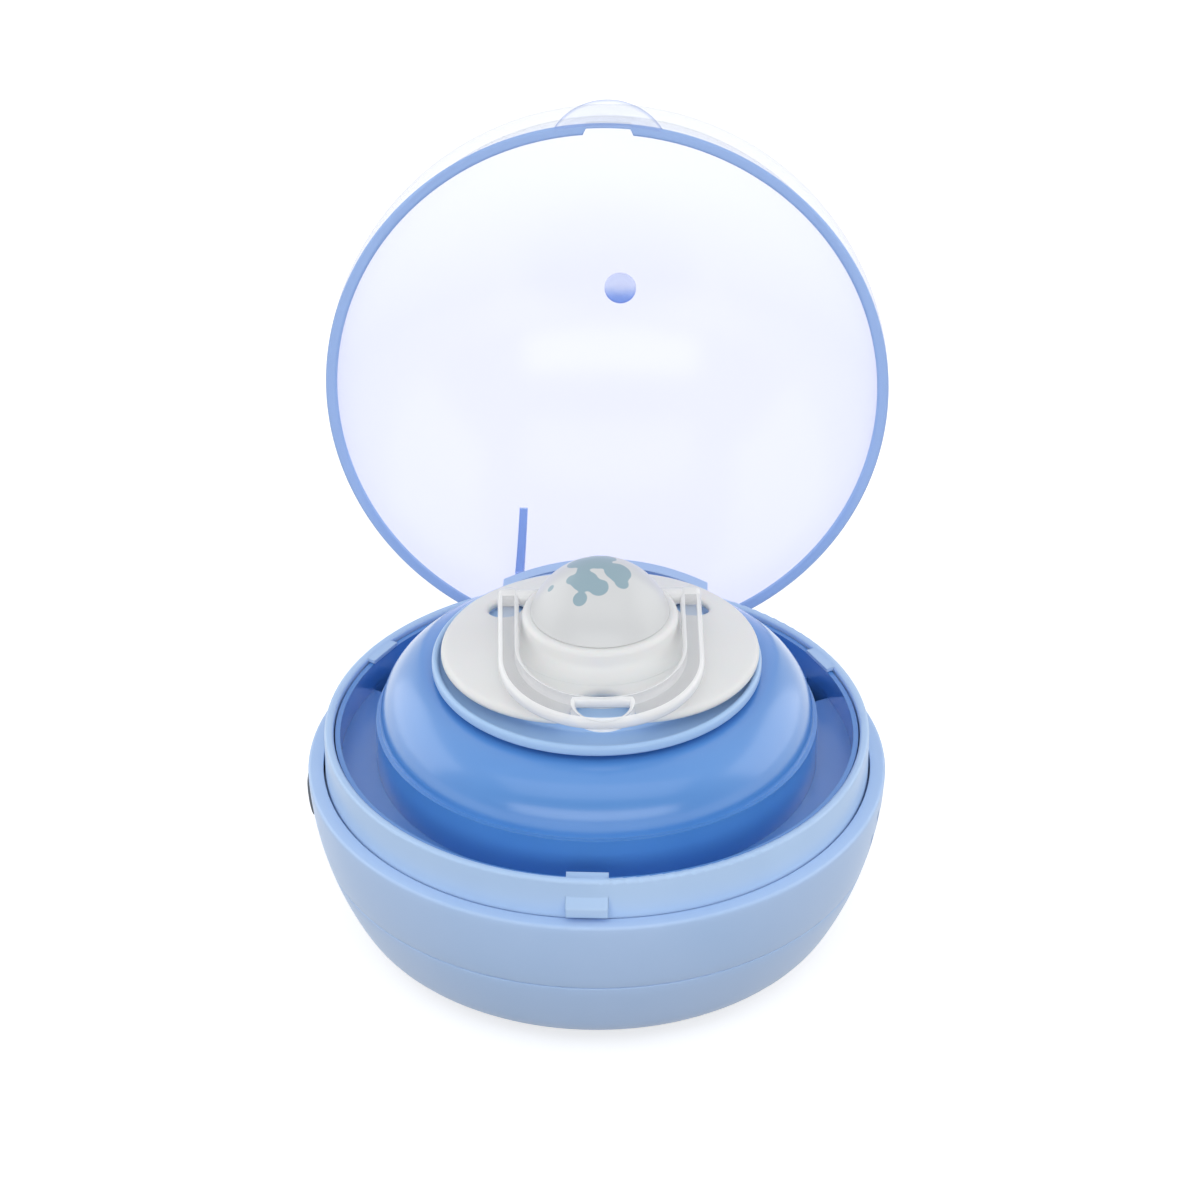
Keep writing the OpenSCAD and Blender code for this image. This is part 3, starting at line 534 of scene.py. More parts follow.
def make_piece(
    name: str,
    points: Array,
    faces: Array,
    body: Body,
    materials: list[Material],
    face_slots: Array | None = None,
    sharp: float = 40.0,
) -> Object:
    """Turns points and faces to a smooth object that rides on a body.

    Doubled points are merged, so that poles and seams close, and the faces are made to
    point outwards.

    Args:
        name: the piece's name.
        points: points in millimetres.
        faces: rows of point numbers.
        body: the body that it moves with.
        materials: the materials of its slots.
        face_slots: material slot of each face, or none for the first.
        sharp: angle in degrees over which an edge stays sharp.

    Returns:
        The new object.
    """
    mesh = bpy.data.meshes.new(name)
    mesh.from_pydata((points * MM).tolist(), [], [list(face) for face in faces])
    for material in materials:
        mesh.materials.append(material)
    if face_slots is not None:
        mesh.polygons.foreach_set("material_index", face_slots.astype(np.int32))
    work = bmesh.new()
    work.from_mesh(mesh)
    bmesh.ops.remove_doubles(work, verts=work.verts, dist=MERGE_MM * MM)
    bmesh.ops.dissolve_degenerate(work, edges=work.edges, dist=SLIVER_MM * MM)
    bmesh.ops.recalc_face_normals(work, faces=work.faces)
    for edge in work.edges:
        edge.smooth = len(edge.link_faces) == 2 and edge.calc_face_angle(0.0) < math.radians(sharp)
    for face in work.faces:
        face.smooth = True
    work.to_mesh(mesh)
    work.free()
    piece = bpy.data.objects.new(name, mesh)
    bpy.context.scene.collection.objects.link(piece)
    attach(piece, body.value)
    LOG.info("%s: %d points, %d faces", name, len(mesh.vertices), len(mesh.polygons))
    return piece


def lathe(outline: Array, segments: int) -> tuple[Array, Array]:
    """Turns a closed outline of radius and height about the vertical axis.

    A point is radius times cosine and sine of the angle, at the outline's height.

    Args:
        outline: rows of radius and height, closed from last to first.
        segments: steps round the axis.

    Returns:
        Points and faces.
    """
    turn = np.linspace(0.0, TAU, segments, endpoint=False)
    x = outline[:, 0][:, None] * np.cos(turn)
    y = outline[:, 0][:, None] * np.sin(turn)
    z = np.repeat(outline[:, 1][:, None], segments, axis=1)
    points = np.stack([x, y, z], axis=-1).reshape(-1, 3)
    return points, grid_faces(len(outline), segments, True, True)


def inside(points: Array, outline: Array) -> Array:
    """Tells which points lie in a closed outline, by counting the sides that a ray crosses.

    Args:
        points: rows of x and y.
        outline: rows of x and y, closed from last to first.

    Returns:
        One truth value a point.
    """
    x, y = points[:, 0][:, None], points[:, 1][:, None]
    x0, y0 = outline[:, 0][None], outline[:, 1][None]
    x1, y1 = np.roll(outline[:, 0], -1)[None], np.roll(outline[:, 1], -1)[None]
    with np.errstate(divide="ignore", invalid="ignore"):
        crossing = ((y0 > y) != (y1 > y)) & (x < (x1 - x0) * (y - y0) / (y1 - y0) + x0)
    return crossing.sum(axis=1) % 2 == 1


def outward(outline: Array) -> Array:
    """Unit vectors that point out of a closed outline: the mean of the normals of both sides.

    Args:
        outline: rows of x and y, counter-clockwise.

    Returns:
        One vector a point.
    """
    ahead = np.roll(outline, -1, axis=0) - outline
    ahead = ahead / np.maximum(np.linalg.norm(ahead, axis=1, keepdims=True), 1e-9)
    normal = np.stack([ahead[:, 1], -ahead[:, 0]], axis=1)
    mean = normal + np.roll(normal, 1, axis=0)
    return mean / np.maximum(np.linalg.norm(mean, axis=1, keepdims=True), 1e-9)


def plate(
    outer: Array, holes: list[Array], thick: float, edge: float, cell: float
) -> tuple[Array, list, Array]:
    """Flat plate with rounded edges, centred on height 0.

    Each wall is the outline moved inwards by edge times one minus the sine of an angle while
    its height falls by edge times one minus the cosine. The faces between are filled with a
    Delaunay net of the given cell.

    Args:
        outer: outer outline, counter-clockwise.
        holes: outlines of holes, counter-clockwise.
        thick: thickness.
        edge: rounding radius, at most half the thickness.
        cell: spacing of the points inside.

    Returns:
        Points, faces, and for each face 1 on a wall and 0 on the flat sides.
    """
    least_gap = 0.35 * cell  # inner points keep this far from the rims
    steps = np.radians(np.linspace(0.0, 90.0, 5))
    section = [(edge * (1 - math.sin(a)), thick / 2 - edge * (1 - math.cos(a))) for a in steps]
    section += [(inset, -z) for inset, z in section[::-1]]
    points: list[Array] = []
    faces: list[list[int]] = []
    wall: list[int] = []
    start = 0
    rims = []
    for number, outline in enumerate([outer, *holes]):
        way = outward(outline) * (-1.0 if number == 0 else 1.0)
        for inset, z in section:
            points.append(np.column_stack([outline + way * inset, np.full(len(outline), z)]))
        made = grid_faces(len(section), len(outline), False, True) + start
        faces += made.tolist()
        wall += [1] * len(made)
        start += len(section) * len(outline)
        rims.append(outline + way * edge)
    low, high = rims[0].min(axis=0), rims[0].max(axis=0)
    gx, gy = np.meshgrid(np.arange(low[0], high[0], cell), np.arange(low[1], high[1], cell))
    net = np.column_stack([gx.ravel(), gy.ravel()])
    keep = inside(net, rims[0])
    for rim in rims[1:]:
        keep &= ~inside(net, rim)
    for rim in rims:
        gap = np.linalg.norm(net[:, None] - rim[None], axis=2).min(axis=1)
        keep &= gap > least_gap
    spots = np.concatenate([*rims, net[keep]])
    sides = []
    first = 0
    for rim in rims:
        count = len(rim)
        sides += [(first + i, first + (i + 1) % count) for i in range(count)]
        first += count
    verts, _, tris, *_ = geometry.delaunay_2d_cdt([Vector(p) for p in spots], sides, [], 0, 1e-6)
    verts = np.array([tuple(v) for v in verts])
    tris = np.array([t for t in tris if len(t) == 3])
    middle = verts[tris].mean(axis=1)
    good = inside(middle, rims[0])
    for rim in rims[1:]:
        good &= ~inside(middle, rim)
    for z in (thick / 2, -thick / 2):
        points.append(np.column_stack([verts, np.full(len(verts), z)]))
        faces += (tris[good] + start).tolist()
        wall += [0] * int(good.sum())
        start += len(verts)
    return np.concatenate(points), faces, np.array(wall)


def rod_x(radius: float, x0: float, x1: float, soft: float) -> tuple[Array, Array]:
    """Round bar along X with rounded ends, from a turned outline laid on its side.

    Args:
        radius: radius of the bar.
        x0: one end.
        x1: the other end.
        soft: rounding of the ends.

    Returns:
        Points and faces.
    """
    low, high = min(x0, x1), max(x0, x1)
    outline = rounded([(0, low, 0), (radius, low, soft), (radius, high, soft), (0, high, 0)], 5)
    points, faces = lathe(outline, segments=32)
    return points[:, [2, 0, 1]], faces


# ---------------------------------------------------------------- the case


@dataclass(frozen=True)
class SoftEdge:
    """A ring-shaped zone whose edges are rounded: between two radii and two heights."""

    width: float
    radii: Pair
    heights: Pair
    half_x: float = 100.0

    def holds(self, points: Array) -> Array:
        """Tells which points lie in the zone.

        Args:
            points: rows of x, y and z in millimetres.

        Returns:
            One truth value a point.
        """
        x, y, z = points.T
        radius = np.hypot(x, y)
        held = (radius > self.radii[0]) & (radius < self.radii[1]) & (np.abs(x) < self.half_x)
        return held & (z > self.heights[0]) & (z < self.heights[1])


class CadDresser:
    """Gives the frame's own solids smooth shading, softened edges and their finishes."""

    bevel_steps = 3

    def __init__(self, nodes: dict[str, Object]) -> None:
        """Keeps the frame's nodes and an empty store of built materials."""
        self.nodes = nodes
        self.built: dict[str, Material] = {}

    def material(self, finish: Any) -> Material:
        """Builds a finish once and hands the same material out again.

        Args:
            finish: the finish.

        Returns:
            Its material.
        """
        if finish.name not in self.built:
            self.built[finish.name] = finish.material()
        return self.built[finish.name]

    def dress(self, name: str, finish: Any, zones: tuple[SoftEdge, ...] = ()) -> None:
        """Dresses one solid.

        Args:
            name: the node's name.
            finish: its finish.
            zones: where its edges are rounded.
        """
        node = self.nodes[name]
        node.data.materials.clear()
        node.data.materials.append(self.material(finish))
        node.data.polygons.foreach_set("use_smooth", [True] * len(node.data.polygons))
        weld = node.modifiers.new("weld", "WELD")
        weld.merge_threshold = SLIVER_MM * MM
        flat = np.zeros(len(node.data.vertices) * 3, np.float32)
        node.data.vertices.foreach_get("co", flat)
        points = flat.reshape(-1, 3) / MM
        for number, zone in enumerate(zones):
            group = node.vertex_groups.new(name=f"soft edge {number}")
            group.add([int(i) for i in np.nonzero(zone.holds(points))[0]], 1.0, "REPLACE")
            bevel = node.modifiers.new(f"soft edge {number}", "BEVEL")
            bevel.width = zone.width * MM
            bevel.segments = self.bevel_steps
            bevel.limit_method = "VGROUP"
            bevel.vertex_group = group.name
            bevel.use_clamp_overlap = False
        split = node.modifiers.new("sharp edges", "EDGE_SPLIT")
        split.split_angle = math.radians(SPLIT_DEG)
        LOG.info("%s: dressed in %s", name, finish.name)


@dataclass
class ClearLid:
    """The clear upper half of the ball, built closed and swung open about the hinge."""

    dresser: CadDresser
    ball_r: float = 44.0
    ball_z: float = 29.0
    wall: float = 1.8
    rim_z: float = 27.15
    open_angle: float = 97.0
    hinge: Pair = (39.6, 26.5)
    notch_half: float = 17.0
    notch_top: float = 36.9
    arch_r: float = 55.0
    arch_reach: float = 20.0
    edge_r: float = 0.35
    tab_out: float = 3.5
    tab_half: float = 8.0
    tab_t: float = 1.6
    recess_half: float = 3.6
    recess_h: float = 4.1
    recess_deep: float = 1.0
    recess_blend: Pair = (0.5, 0.6)
    columns: int = 960
    rows: int = 84
    crowding: float = 1.15
    rim_strips: int = 9
    rib_half: float = 0.65
    rib_root: float = 0.3
    rib_depths: Pair = (2.52, 0.12)
    gate_x: float = 0.8
    lug_radii: Pair = (0.95, 2.0)
    lug_ends: Pair = (16.6, 18.6)

    def piece(self, name: str, points: Array, faces: Array, finish: Any) -> None:
        """Swings closed points to the open stop and makes a piece of one finish of them."""
        materials = [self.dresser.material(finish)]
        make_piece(name, self.swing(points), faces, Body.LID, materials)

    def rim_height(self, x: Array, y: Array) -> Array:
        """Height of the rim: level, but raised to the tower's arch behind.

        The arch is a circle of arch_r under notch_top, followed where |x| is under notch_half.

        Args:
            x: x of each point.
            y: y of each point.

        Returns:
            One height a point.
        """
        reach = np.minimum(np.abs(x), self.arch_reach)
        arch = self.notch_top - self.arch_r + np.sqrt(self.arch_r**2 - reach**2)
        behind = (y > 0) & (np.abs(x) < self.notch_half)
        return np.where(behind, arch, self.rim_z)

    def surface(self, radius: float) -> Array:
        """One spherical skin: longitude runs round, latitude runs from rim to crown.

        Latitude at the rim is the arc sine of the rim's height over the radius. From it to
        90 degrees the rows go by the power crowding of their number, closer near the rim.

        Args:
            radius: radius of the skin, which starts edge_r above the rim.

        Returns:
            Points of the skin.
        """
        turn = np.linspace(0.0, TAU, self.columns, endpoint=False)
        low_r = math.sqrt(radius**2 - (self.rim_z - self.ball_z) ** 2)
        rim = self.rim_height(low_r * np.cos(turn), low_r * np.sin(turn)) + self.edge_r
        low = np.arcsin((rim - self.ball_z) / radius)
        share = np.linspace(0.0, 1.0, self.rows)[:, None] ** self.crowding
        lat = low[None, :] + (math.pi / 2 - low[None, :]) * share
        out = np.stack(
            [np.cos(lat) * np.cos(turn), np.cos(lat) * np.sin(turn), np.sin(lat)], axis=-1
        ).reshape(-1, 3)
        return out * radius + np.array([0.0, 0.0, self.ball_z])

    def catch_recess(self, points: Array) -> Array:
        """Sinks the catch's recess into the inner skin at the front.

        A point moves out by the depth times two ramps: one falls from 1 to 0 as |x| passes the
        half width, the other as the height above the rim passes the recess's height.

        Args:
            points: the inner skin.

        Returns:
            The skin with the recess.
        """
        x, y, z = points.T
        over_x, over_z = self.recess_blend
        ramp_x = np.clip((self.recess_half + over_x / 2 - np.abs(x)) / over_x, 0.0, 1.0)
        ramp_z = np.clip((self.rim_z + self.recess_h + over_z / 2 - z) / over_z, 0.0, 1.0)
        out = self.recess_deep * ramp_x * ramp_z * (y < 0)
        grown = 1.0 + out / np.maximum(np.hypot(x, y), 1.0)
        return np.column_stack([x * grown, y * grown, z])

    def swing(self, points: Array) -> Array:
        """Swings closed points to the open stop."""
        return turn_x(points, -self.open_angle, self.hinge)

    def shell(self) -> None:
        """Joins the outer skin, a rounded rim and the inner skin to one closed wall."""
        n = self.columns
        outer = self.surface(self.ball_r)
        inner = self.catch_recess(self.surface(self.ball_r - self.wall))
        first, last = outer[:n], inner[:n]
        span = np.linspace(0.0, 1.0, self.rim_strips)[:, None, None]
        straight = first[None] * (1 - span) + last[None] * span
        # the rim dips between its two edges by 1 minus the sixth power of the way from its middle
        straight[:, :, 2] -= self.edge_r * (1 - np.abs(2 * span[:, :, 0] - 1) ** 6)
        middle = straight[1:-1].reshape(-1, 3)
        rim_rows = self.rim_strips - 2
        outer_rows = outer.reshape(self.rows, n, 3)[::-1].reshape(-1, 3)
        points = np.concatenate([outer_rows, middle, inner])
        rows = self.rows * 2 + rim_rows
        faces = grid_faces(rows, n, False, True)
        row_of = np.repeat(np.arange(rows - 1), n)
        edge = (row_of >= self.rows - 1) & (row_of < self.rows + rim_rows)
        materials = [self.dresser.material(LID), self.dresser.material(LID_EDGE)]
        piece = make_piece(
            "lid_shell", self.swing(points), faces, Body.LID, materials, edge * 1, 50.0
        )
        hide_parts("lid")

    def thumb_tab(self) -> None:
        """Makes the crescent at the front: a disc cut by the ball, with rounded edges.

        Its plan runs between the tab's own arc outside and the ball's arc inside, and its
        section is a rounded rectangle. Both arcs run on a little into the lid's wall.
        """
        into_wall, past_tips = 0.7, 2.0
        reach = self.tab_out + into_wall
        tab_r = (self.tab_half**2 + reach**2) / (2 * reach)
        centre_y = tab_r - self.ball_r - self.tab_out
        half = math.degrees(math.asin(min(1.0, self.tab_half / tab_r))) + past_tips
        count = 64
        outer = arc((0.0, centre_y), tab_r, -90 - half, -90 + half, count)
        inner_r = self.ball_r - 0.4  # hidden in the wall
        spread = np.degrees(np.arcsin(np.clip(outer[-1, 0] / inner_r, -1, 1)))
        inner = arc((0.0, 0.0), inner_r, -90 - spread, -90 + spread, count)
        way = inner - outer
        way = way / np.maximum(np.linalg.norm(way, axis=1, keepdims=True), 1e-6)
        soft, knee = 0.45, 0.45 * 0.3  # rounding of the edges, and its half-way point
        below = [(soft, 0.0), (knee, knee), (0.0, soft)]
        above = [(inset, self.tab_t - z) for inset, z in below[::-1]]
        rings = [(inner, 0.0)]
        rings += [(outer + way * inset, z) for inset, z in below + above]
        rings.append((inner, self.tab_t))
        rows = [np.column_stack([plan, np.full(count, self.rim_z + z)]) for plan, z in rings]
        faces = grid_faces(len(rows), count, True, False)
        self.piece("lid_thumb_tab", np.concatenate(rows), faces, TAB)

    def rib(self, name: str, x: float, last: float) -> None:
        """Makes a rib along the inner skin: its depth falls evenly from notch to upper end.

        The rib lies in the plane of constant x, between the skin's circle and a circle that
        closes on it, and its crest is a little proud between its two chamfers.

        Args:
            name: the piece's name.
            x: x of the rib's middle.
            last: latitude in degrees of its upper end.
        """
        over_notch, crest, crest_half = 1.2, 1.06, self.rib_half * 0.6
        radius = math.sqrt((self.ball_r - self.wall) ** 2 - x**2)
        start = math.degrees(math.asin((self.notch_top + over_notch - self.ball_z) / radius))
        count = 40
        lat = np.radians(np.linspace(start, last, count))
        deep, tip = self.rib_depths
        depth = (deep - tip) * (1 - np.linspace(0, 1, count)) + tip
        flank = [(-self.rib_half, None), (-self.rib_half, 1.0), (-crest_half, crest)]
        rows = []
        for side, share in flank + [(-side, share) for side, share in flank[::-1]]:
            reach = radius + self.rib_root if share is None else radius - depth * share
            y, z = reach * np.cos(lat), self.ball_z + reach * np.sin(lat)
            rows.append(np.column_stack([np.full(count, x + side), y, z]))
        faces = grid_faces(len(rows), count, True, False)
        self.piece(name, np.concatenate(rows), faces, LID_RIB)

    def gate_mark(self) -> None:
        """Makes the low round boss inside the crown: a dot on top of a hollow shoulder.

        The rows are radius and height from the crown, from the dot out to the wall.
        """
        crown = self.ball_z + self.ball_r - self.wall
        outline = np.concatenate(
            [
                np.array([[0.0, crown - 1.15]]),
                arc((0.75, crown - 0.97), 0.18, -90, 0, 5),
                np.array([[0.95, crown - 0.82]]),
                arc((1.7, crown + 0.1), 0.9, -84, 0, 12),
                np.array([[2.6, crown + 0.5], [0.0, crown + 0.5]]),
            ]
        )
        points, faces = lathe(outline, 64)
        points[:, 0] += self.gate_x
        self.piece("lid_gate_mark", points, faces, GATE)

    def lug(self, name: str, side: int) -> None:
        """Makes a hinge lug: a washer about the hinge axis, turned from a rounded outline.

        Args:
            name: the piece's name.
            side: 1 on the right, -1 on the left.
        """
        (bore, radius), (near, far) = self.lug_radii, self.lug_ends
        corners = [(bore, near, 0.1), (radius, near, 0.25), (radius, far, 0.25), (bore, far, 0.1)]
        points, faces = lathe(rounded(corners, 4), 48)
        y, z = points[:, 0] + self.hinge[0], points[:, 1] + self.hinge[1]
        self.piece(name, np.stack([points[:, 2] * side, y, z], axis=1), faces, LID_EDGE)

    def build(self) -> None:
        """Builds every piece of the lid."""
        self.shell()
        self.thumb_tab()
        self.rib("lid_rib_long", -14.3, 37.0)
        self.rib("lid_rib_short", 9.3, 17.0)
        self.gate_mark()
        self.lug("lid_lug_left", -1)
        self.lug("lid_lug_right", 1)


@dataclass
class Soother:
    """The soother: shield with its hub, and the clear ring on its pins."""

    dresser: CadDresser
    turn: float = 3.0
    off: float = 0.5
    pivot: Pair = (6.0, 52.3785)
    tilt: float = 5.0
    half_w: float = 15.3
    inner_half: float = 12.1
    out_y: float = -25.3
    in_y: float = -19.3
    thick: float = 2.0
    edge: float = 0.7
    eye_r: float = 1.4
    pin_r: float = 1.2
    pin_end: float = 6.9
    pin_into_eye: float = 0.6
    window_r: float = 4.0
    window_gap: float = 0.9
    window_sag: float = 0.6
    hub_r: float = 11.7
    hub_top: float = 53.58
    hub_bore: float = 7.75
    shield_top: float = 49.98
    shield_t: float = 1.6
    shield_curve: float = 120.0
    shield_y: float = -0.3
    lobe_r: float = 20.2
    lobe_x: float = 3.7
    chin: Pair = (-19.3, 5.0)
    nose: Pair = (27.2, 9.0)
    vent: Triple = (13.9, 9.3, 2.8)
    neck_hole: float = 5.7
    root_r: float = 2.1

    def place(self, points: Array) -> Array:
        """Turns points to the soother's angle and shifts them to its place in the seat."""
        return turn_z(points, self.turn) + np.array([self.off, 0.0, 0.0])

    def tip(self, points: Array) -> Array:
        """Tips points about the ring's pivot line, then places them."""
        return self.place(turn_x(points, self.tilt, self.pivot))

    def band(self) -> None:
        """Makes the flat clear band: a U of two half circles with round-ended arms.

        Its window is a circle of window_r cut flat window_sag behind its middle, and the cut
        lies window_gap from the band's inner edge.
        """
        top = self.pivot[0]
        out_cy, in_cy = self.out_y + self.half_w, self.in_y + self.inner_half
        arm_x = (self.half_w + self.inner_half) / 2
        arm_r = (self.half_w - self.inner_half) / 2
        outer = np.concatenate(
            [
                arc((0.0, out_cy), self.half_w, 180, 360, 72),
                arc((arm_x, top), arm_r, 0, 180, 17),
                arc((0.0, in_cy), self.inner_half, 0, -180, 60),
                arc((-arm_x, top), arm_r, 0, 180, 17),
            ]
        )
        flat = self.in_y - self.window_gap
        centre = flat - self.window_sag
        reach = math.degrees(math.asin((flat - centre) / self.window_r))
        window = arc((0.0, centre), self.window_r, -180 - reach, reach, 40)
        points, faces, wall = plate(outer, [window], self.thick, self.edge, 1.2)
        points[:, 2] += self.pivot[1]
        # the band's walls take the milky edge finish, a painted highlight
        materials = [self.dresser.material(RING), self.dresser.material(RING_EDGE_PAINTED_HIGHLIGHT)]
        piece = make_piece(
            "ring_band", self.tip(points), faces, Body.RING, materials, wall, 50.0
        )
        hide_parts("soother_ring")

    def bar(self, name: str, radius: float, x0: float, x1: float, end: float) -> None:
        """Makes a round bar on the pivot line.

        Args:
            name: the piece's name.
            radius: the bar's radius.
            x0: one end.
            x1: the other end.
            end: rounding of both ends.
        """
        points, faces = rod_x(radius, x0, x1, end)
        points = self.tip(points + np.array([0.0, *self.pivot]))
        # the eyes and pins take the milky edge finish, a painted highlight
        materials = [self.dresser.material(RING_EDGE_PAINTED_HIGHLIGHT)]
        make_piece(name, points, faces, Body.RING, materials)

    def drop(self, radii: Array) -> Array:
        """Fall of the shield's curve: its radius minus the height of the circle at each radius."""
        return self.shield_curve - np.sqrt(self.shield_curve**2 - radii**2)

    def outline(self) -> Array:
        """Shield's outline: distance from the middle along each ray, smoothed at the corners.

        The ray ends on one of two lobe circles or the straight between them, or sooner where
        it meets the circle of the chin or nose notch. A bell curve over the rays rounds it.

        Returns:
            Rows of x and y, one a degree.
        """
        count, bell, bell_rays = 360, 1.5, 6
        turn = np.linspace(0.0, TAU, count, endpoint=False)
        c, s = np.cos(turn), np.sin(turn)
        reach = self.lobe_x * np.abs(c) + np.sqrt(self.lobe_r**2 - (self.lobe_x * s) ** 2)
        level = self.lobe_r / np.maximum(np.abs(s), 1e-6)
        reach = np.where(level * np.abs(c) <= self.lobe_x, level, reach)
        for centre, radius in (self.chin, self.nose):
            along = centre * s
            square = radius**2 - centre**2 + along**2
            near = np.where(
                (square > 0) & (along > 0), along - np.sqrt(np.maximum(square, 0.0)), np.inf
            )
            reach = np.minimum(reach, near)
        span = np.arange(-bell_rays, bell_rays + 1)
        weight = np.exp(-((span / bell) ** 2) / 2)
        reach = sum(w * np.roll(reach, k) for k, w in zip(span, weight / weight.sum()))
        return np.column_stack([reach * c, reach * s + self.shield_y])

    def shield(self) -> None:
        """Makes the shield plate with two vents and the neck hole, bent to its sphere."""
        x, y, radius = self.vent
        holes = [arc((side * x, y + self.shield_y), radius, 0, 354, 60) for side in (-1, 1)]
        holes.append(arc((0.0, 0.0), self.neck_hole, 0, 355, 72))
        points, faces, _ = plate(self.outline(), holes, self.shield_t, 0.75, 1.1)
        radii = np.hypot(points[:, 0], points[:, 1])
        points[:, 2] += self.shield_top - self.shield_t / 2 - self.drop(radii)
        material = self.dresser.material(SOOTHER)
        piece = make_piece(
            "shield_plate", self.place(points), faces, Body.SOOTHER, [material]
        )
        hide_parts("soother_shield")

    def hub(self) -> None:
        """Makes the hub: a wall on the shield that ends in a rounded rim round the knob's seat.

        A hollow quarter circle at its root runs out flush with the shield's curve.
        """
        outer_r = self.hub_r + self.root_r
        angle = np.radians(np.linspace(270.0, 180.0, 14))
        radii = outer_r + self.root_r * np.cos(angle)
        foot = self.shield_top - self.drop(radii)
        heights = foot + self.root_r * (1 + np.sin(angle))
        rim = rounded(
            [
                (self.hub_r, heights[-1] + 0.3, 0.0),
                (self.hub_r, self.hub_top, 0.9),
                (self.hub_bore, self.hub_top, 0.3),
                (self.hub_bore, self.shield_top - 1.0, 0.0),
                (outer_r, self.shield_top - 1.4, 0.0),
            ],
            8,
        )
        points, faces = lathe(np.concatenate([np.column_stack([radii, heights]), rim]), 192)
        material = self.dresser.material(SOOTHER)
        make_piece("hub", self.place(points), faces, Body.SOOTHER, [material])

    def build(self) -> None:
        """Builds the shield, the hub, the ring and its eyes and pins."""
        self.shield()
        self.hub()
        self.band()
        for side, name in ((-1, "left"), (1, "right")):
            eye_in, eye_out = side * self.inner_half, side * self.half_w
            self.bar(f"ring_eye_{name}", self.eye_r, eye_in, eye_out, 0.9)
            pin_in, pin_out = side * self.pin_end, eye_in + side * self.pin_into_eye
            self.bar(f"ring_pin_{name}", self.pin_r, pin_in, pin_out, 0.4)


@dataclass
class CaseDressing:
    """The case's own solids with their finishes."""

    dresser: CadDresser
    finishes: dict[str, Any] = field(
        default_factory=lambda: {
            "lower_shell": SHELL,
            "upper_shell": SHELL,
            "collar_ring": COLLAR,
            # the deck's darker blue is painted shade of the collar's hollow
            "dome_deck": DECK_PAINTED_SHADE,
            "reflector_cup": MIRROR,
            "quartz_window": LENS,
            "window_seal": PAD,
            "uv_led_board": LED_BOARD,
            "uv_led": TRAY,
            "main_board": BOARD,
            "beeper": DARK,
            "button_board": BOARD,
            "button_switch": DARK,
            "battery_tray": TRAY,
            "battery_front": CELL,
            "battery_middle": CELL,
            "battery_rear": CELL,
            "contact_springs": SPRING,
            "contact_plates": SPRING,
            "case_screws": STEEL,
            "board_screws": STEEL,
            "hinge_pins": STEEL,
            "battery_door": SHELL,
            "grip_pad": PAD,
            "power_button": BUTTON,
            "soother_teat": TEAT,
            "teat_plug": SOOTHER,
            "soother_knob": KNOB,
        }
    )
    seam_z: float = 14.6
    ledge_z: float = 27.0
    body_low_r: float = 41.85
    body_high_r: float = 43.8
    catch: Pair = (41.6, 43.0)

    def zones(self) -> dict[str, tuple[SoftEdge, ...]]:
        """Lists where edges are rounded: the seam's groove, the ledge and the catch.

        Returns:
            The zones of each solid that has any.
        """
        near, past = 0.02, 50.0  # height to each side of an edge, and a radius past the ball
        seam_z, ledge_z = self.seam_z, self.ledge_z
        seam = SoftEdge(0.35, (self.body_low_r, past), (seam_z - near, seam_z + near))
        ledge = SoftEdge(0.5, (self.body_high_r, past), (ledge_z - near, ledge_z + near))
        catch = SoftEdge(0.2, self.catch, (ledge_z + 0.5, ledge_z + 3.6), 4.0)
        return {"lower_shell": (seam,), "upper_shell": (seam, ledge), "collar_ring": (catch,)}

    def build(self) -> None:
        """Dresses every solid in turn."""
        zones = self.zones()
        for name, finish in self.finishes.items():
            self.dresser.dress(name, finish, zones.get(name, ()))


@dataclass
class Seat:
    """The blue seat on the dome, with its rolled lip."""

    dresser: CadDresser
    section: list[Triple] = field(
        default_factory=lambda: [
            (16.5, 40.6, 0.1),
            (18.8, 40.6, 0.3),
            (18.8, 43.2, 0.0),
            (22.2, 43.2, 0.1),
            (22.2, 43.9, 0.2),
            (24.8, 43.9, 0.5),
            (24.8, 45.6, 0.54),
            (23.7, 45.6, 0.54),
            (23.7, 44.7, 0.35),
            (19.4, 44.7, 0.35),
            (19.4, 46.7, 0.4),
            (12.0, 46.7, 0.4),
            (12.0, 45.6, 0.4),
            (17.6, 45.6, 0.0),
            (17.6, 41.4, 0.0),
            (16.5, 41.4, 0.1),
        ]
    )
    segments: int = 256

    def build(self) -> None:
        """Turns the rounded section about the ball's axis."""
        points, faces = lathe(rounded(self.section, 7), self.segments)
        material = self.dresser.material(SEAT)
        piece = make_piece("seat_lip", points, faces, Body.CASE, [material])
        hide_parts("soother_seat")


# ---------------------------------------------------------------- the studio


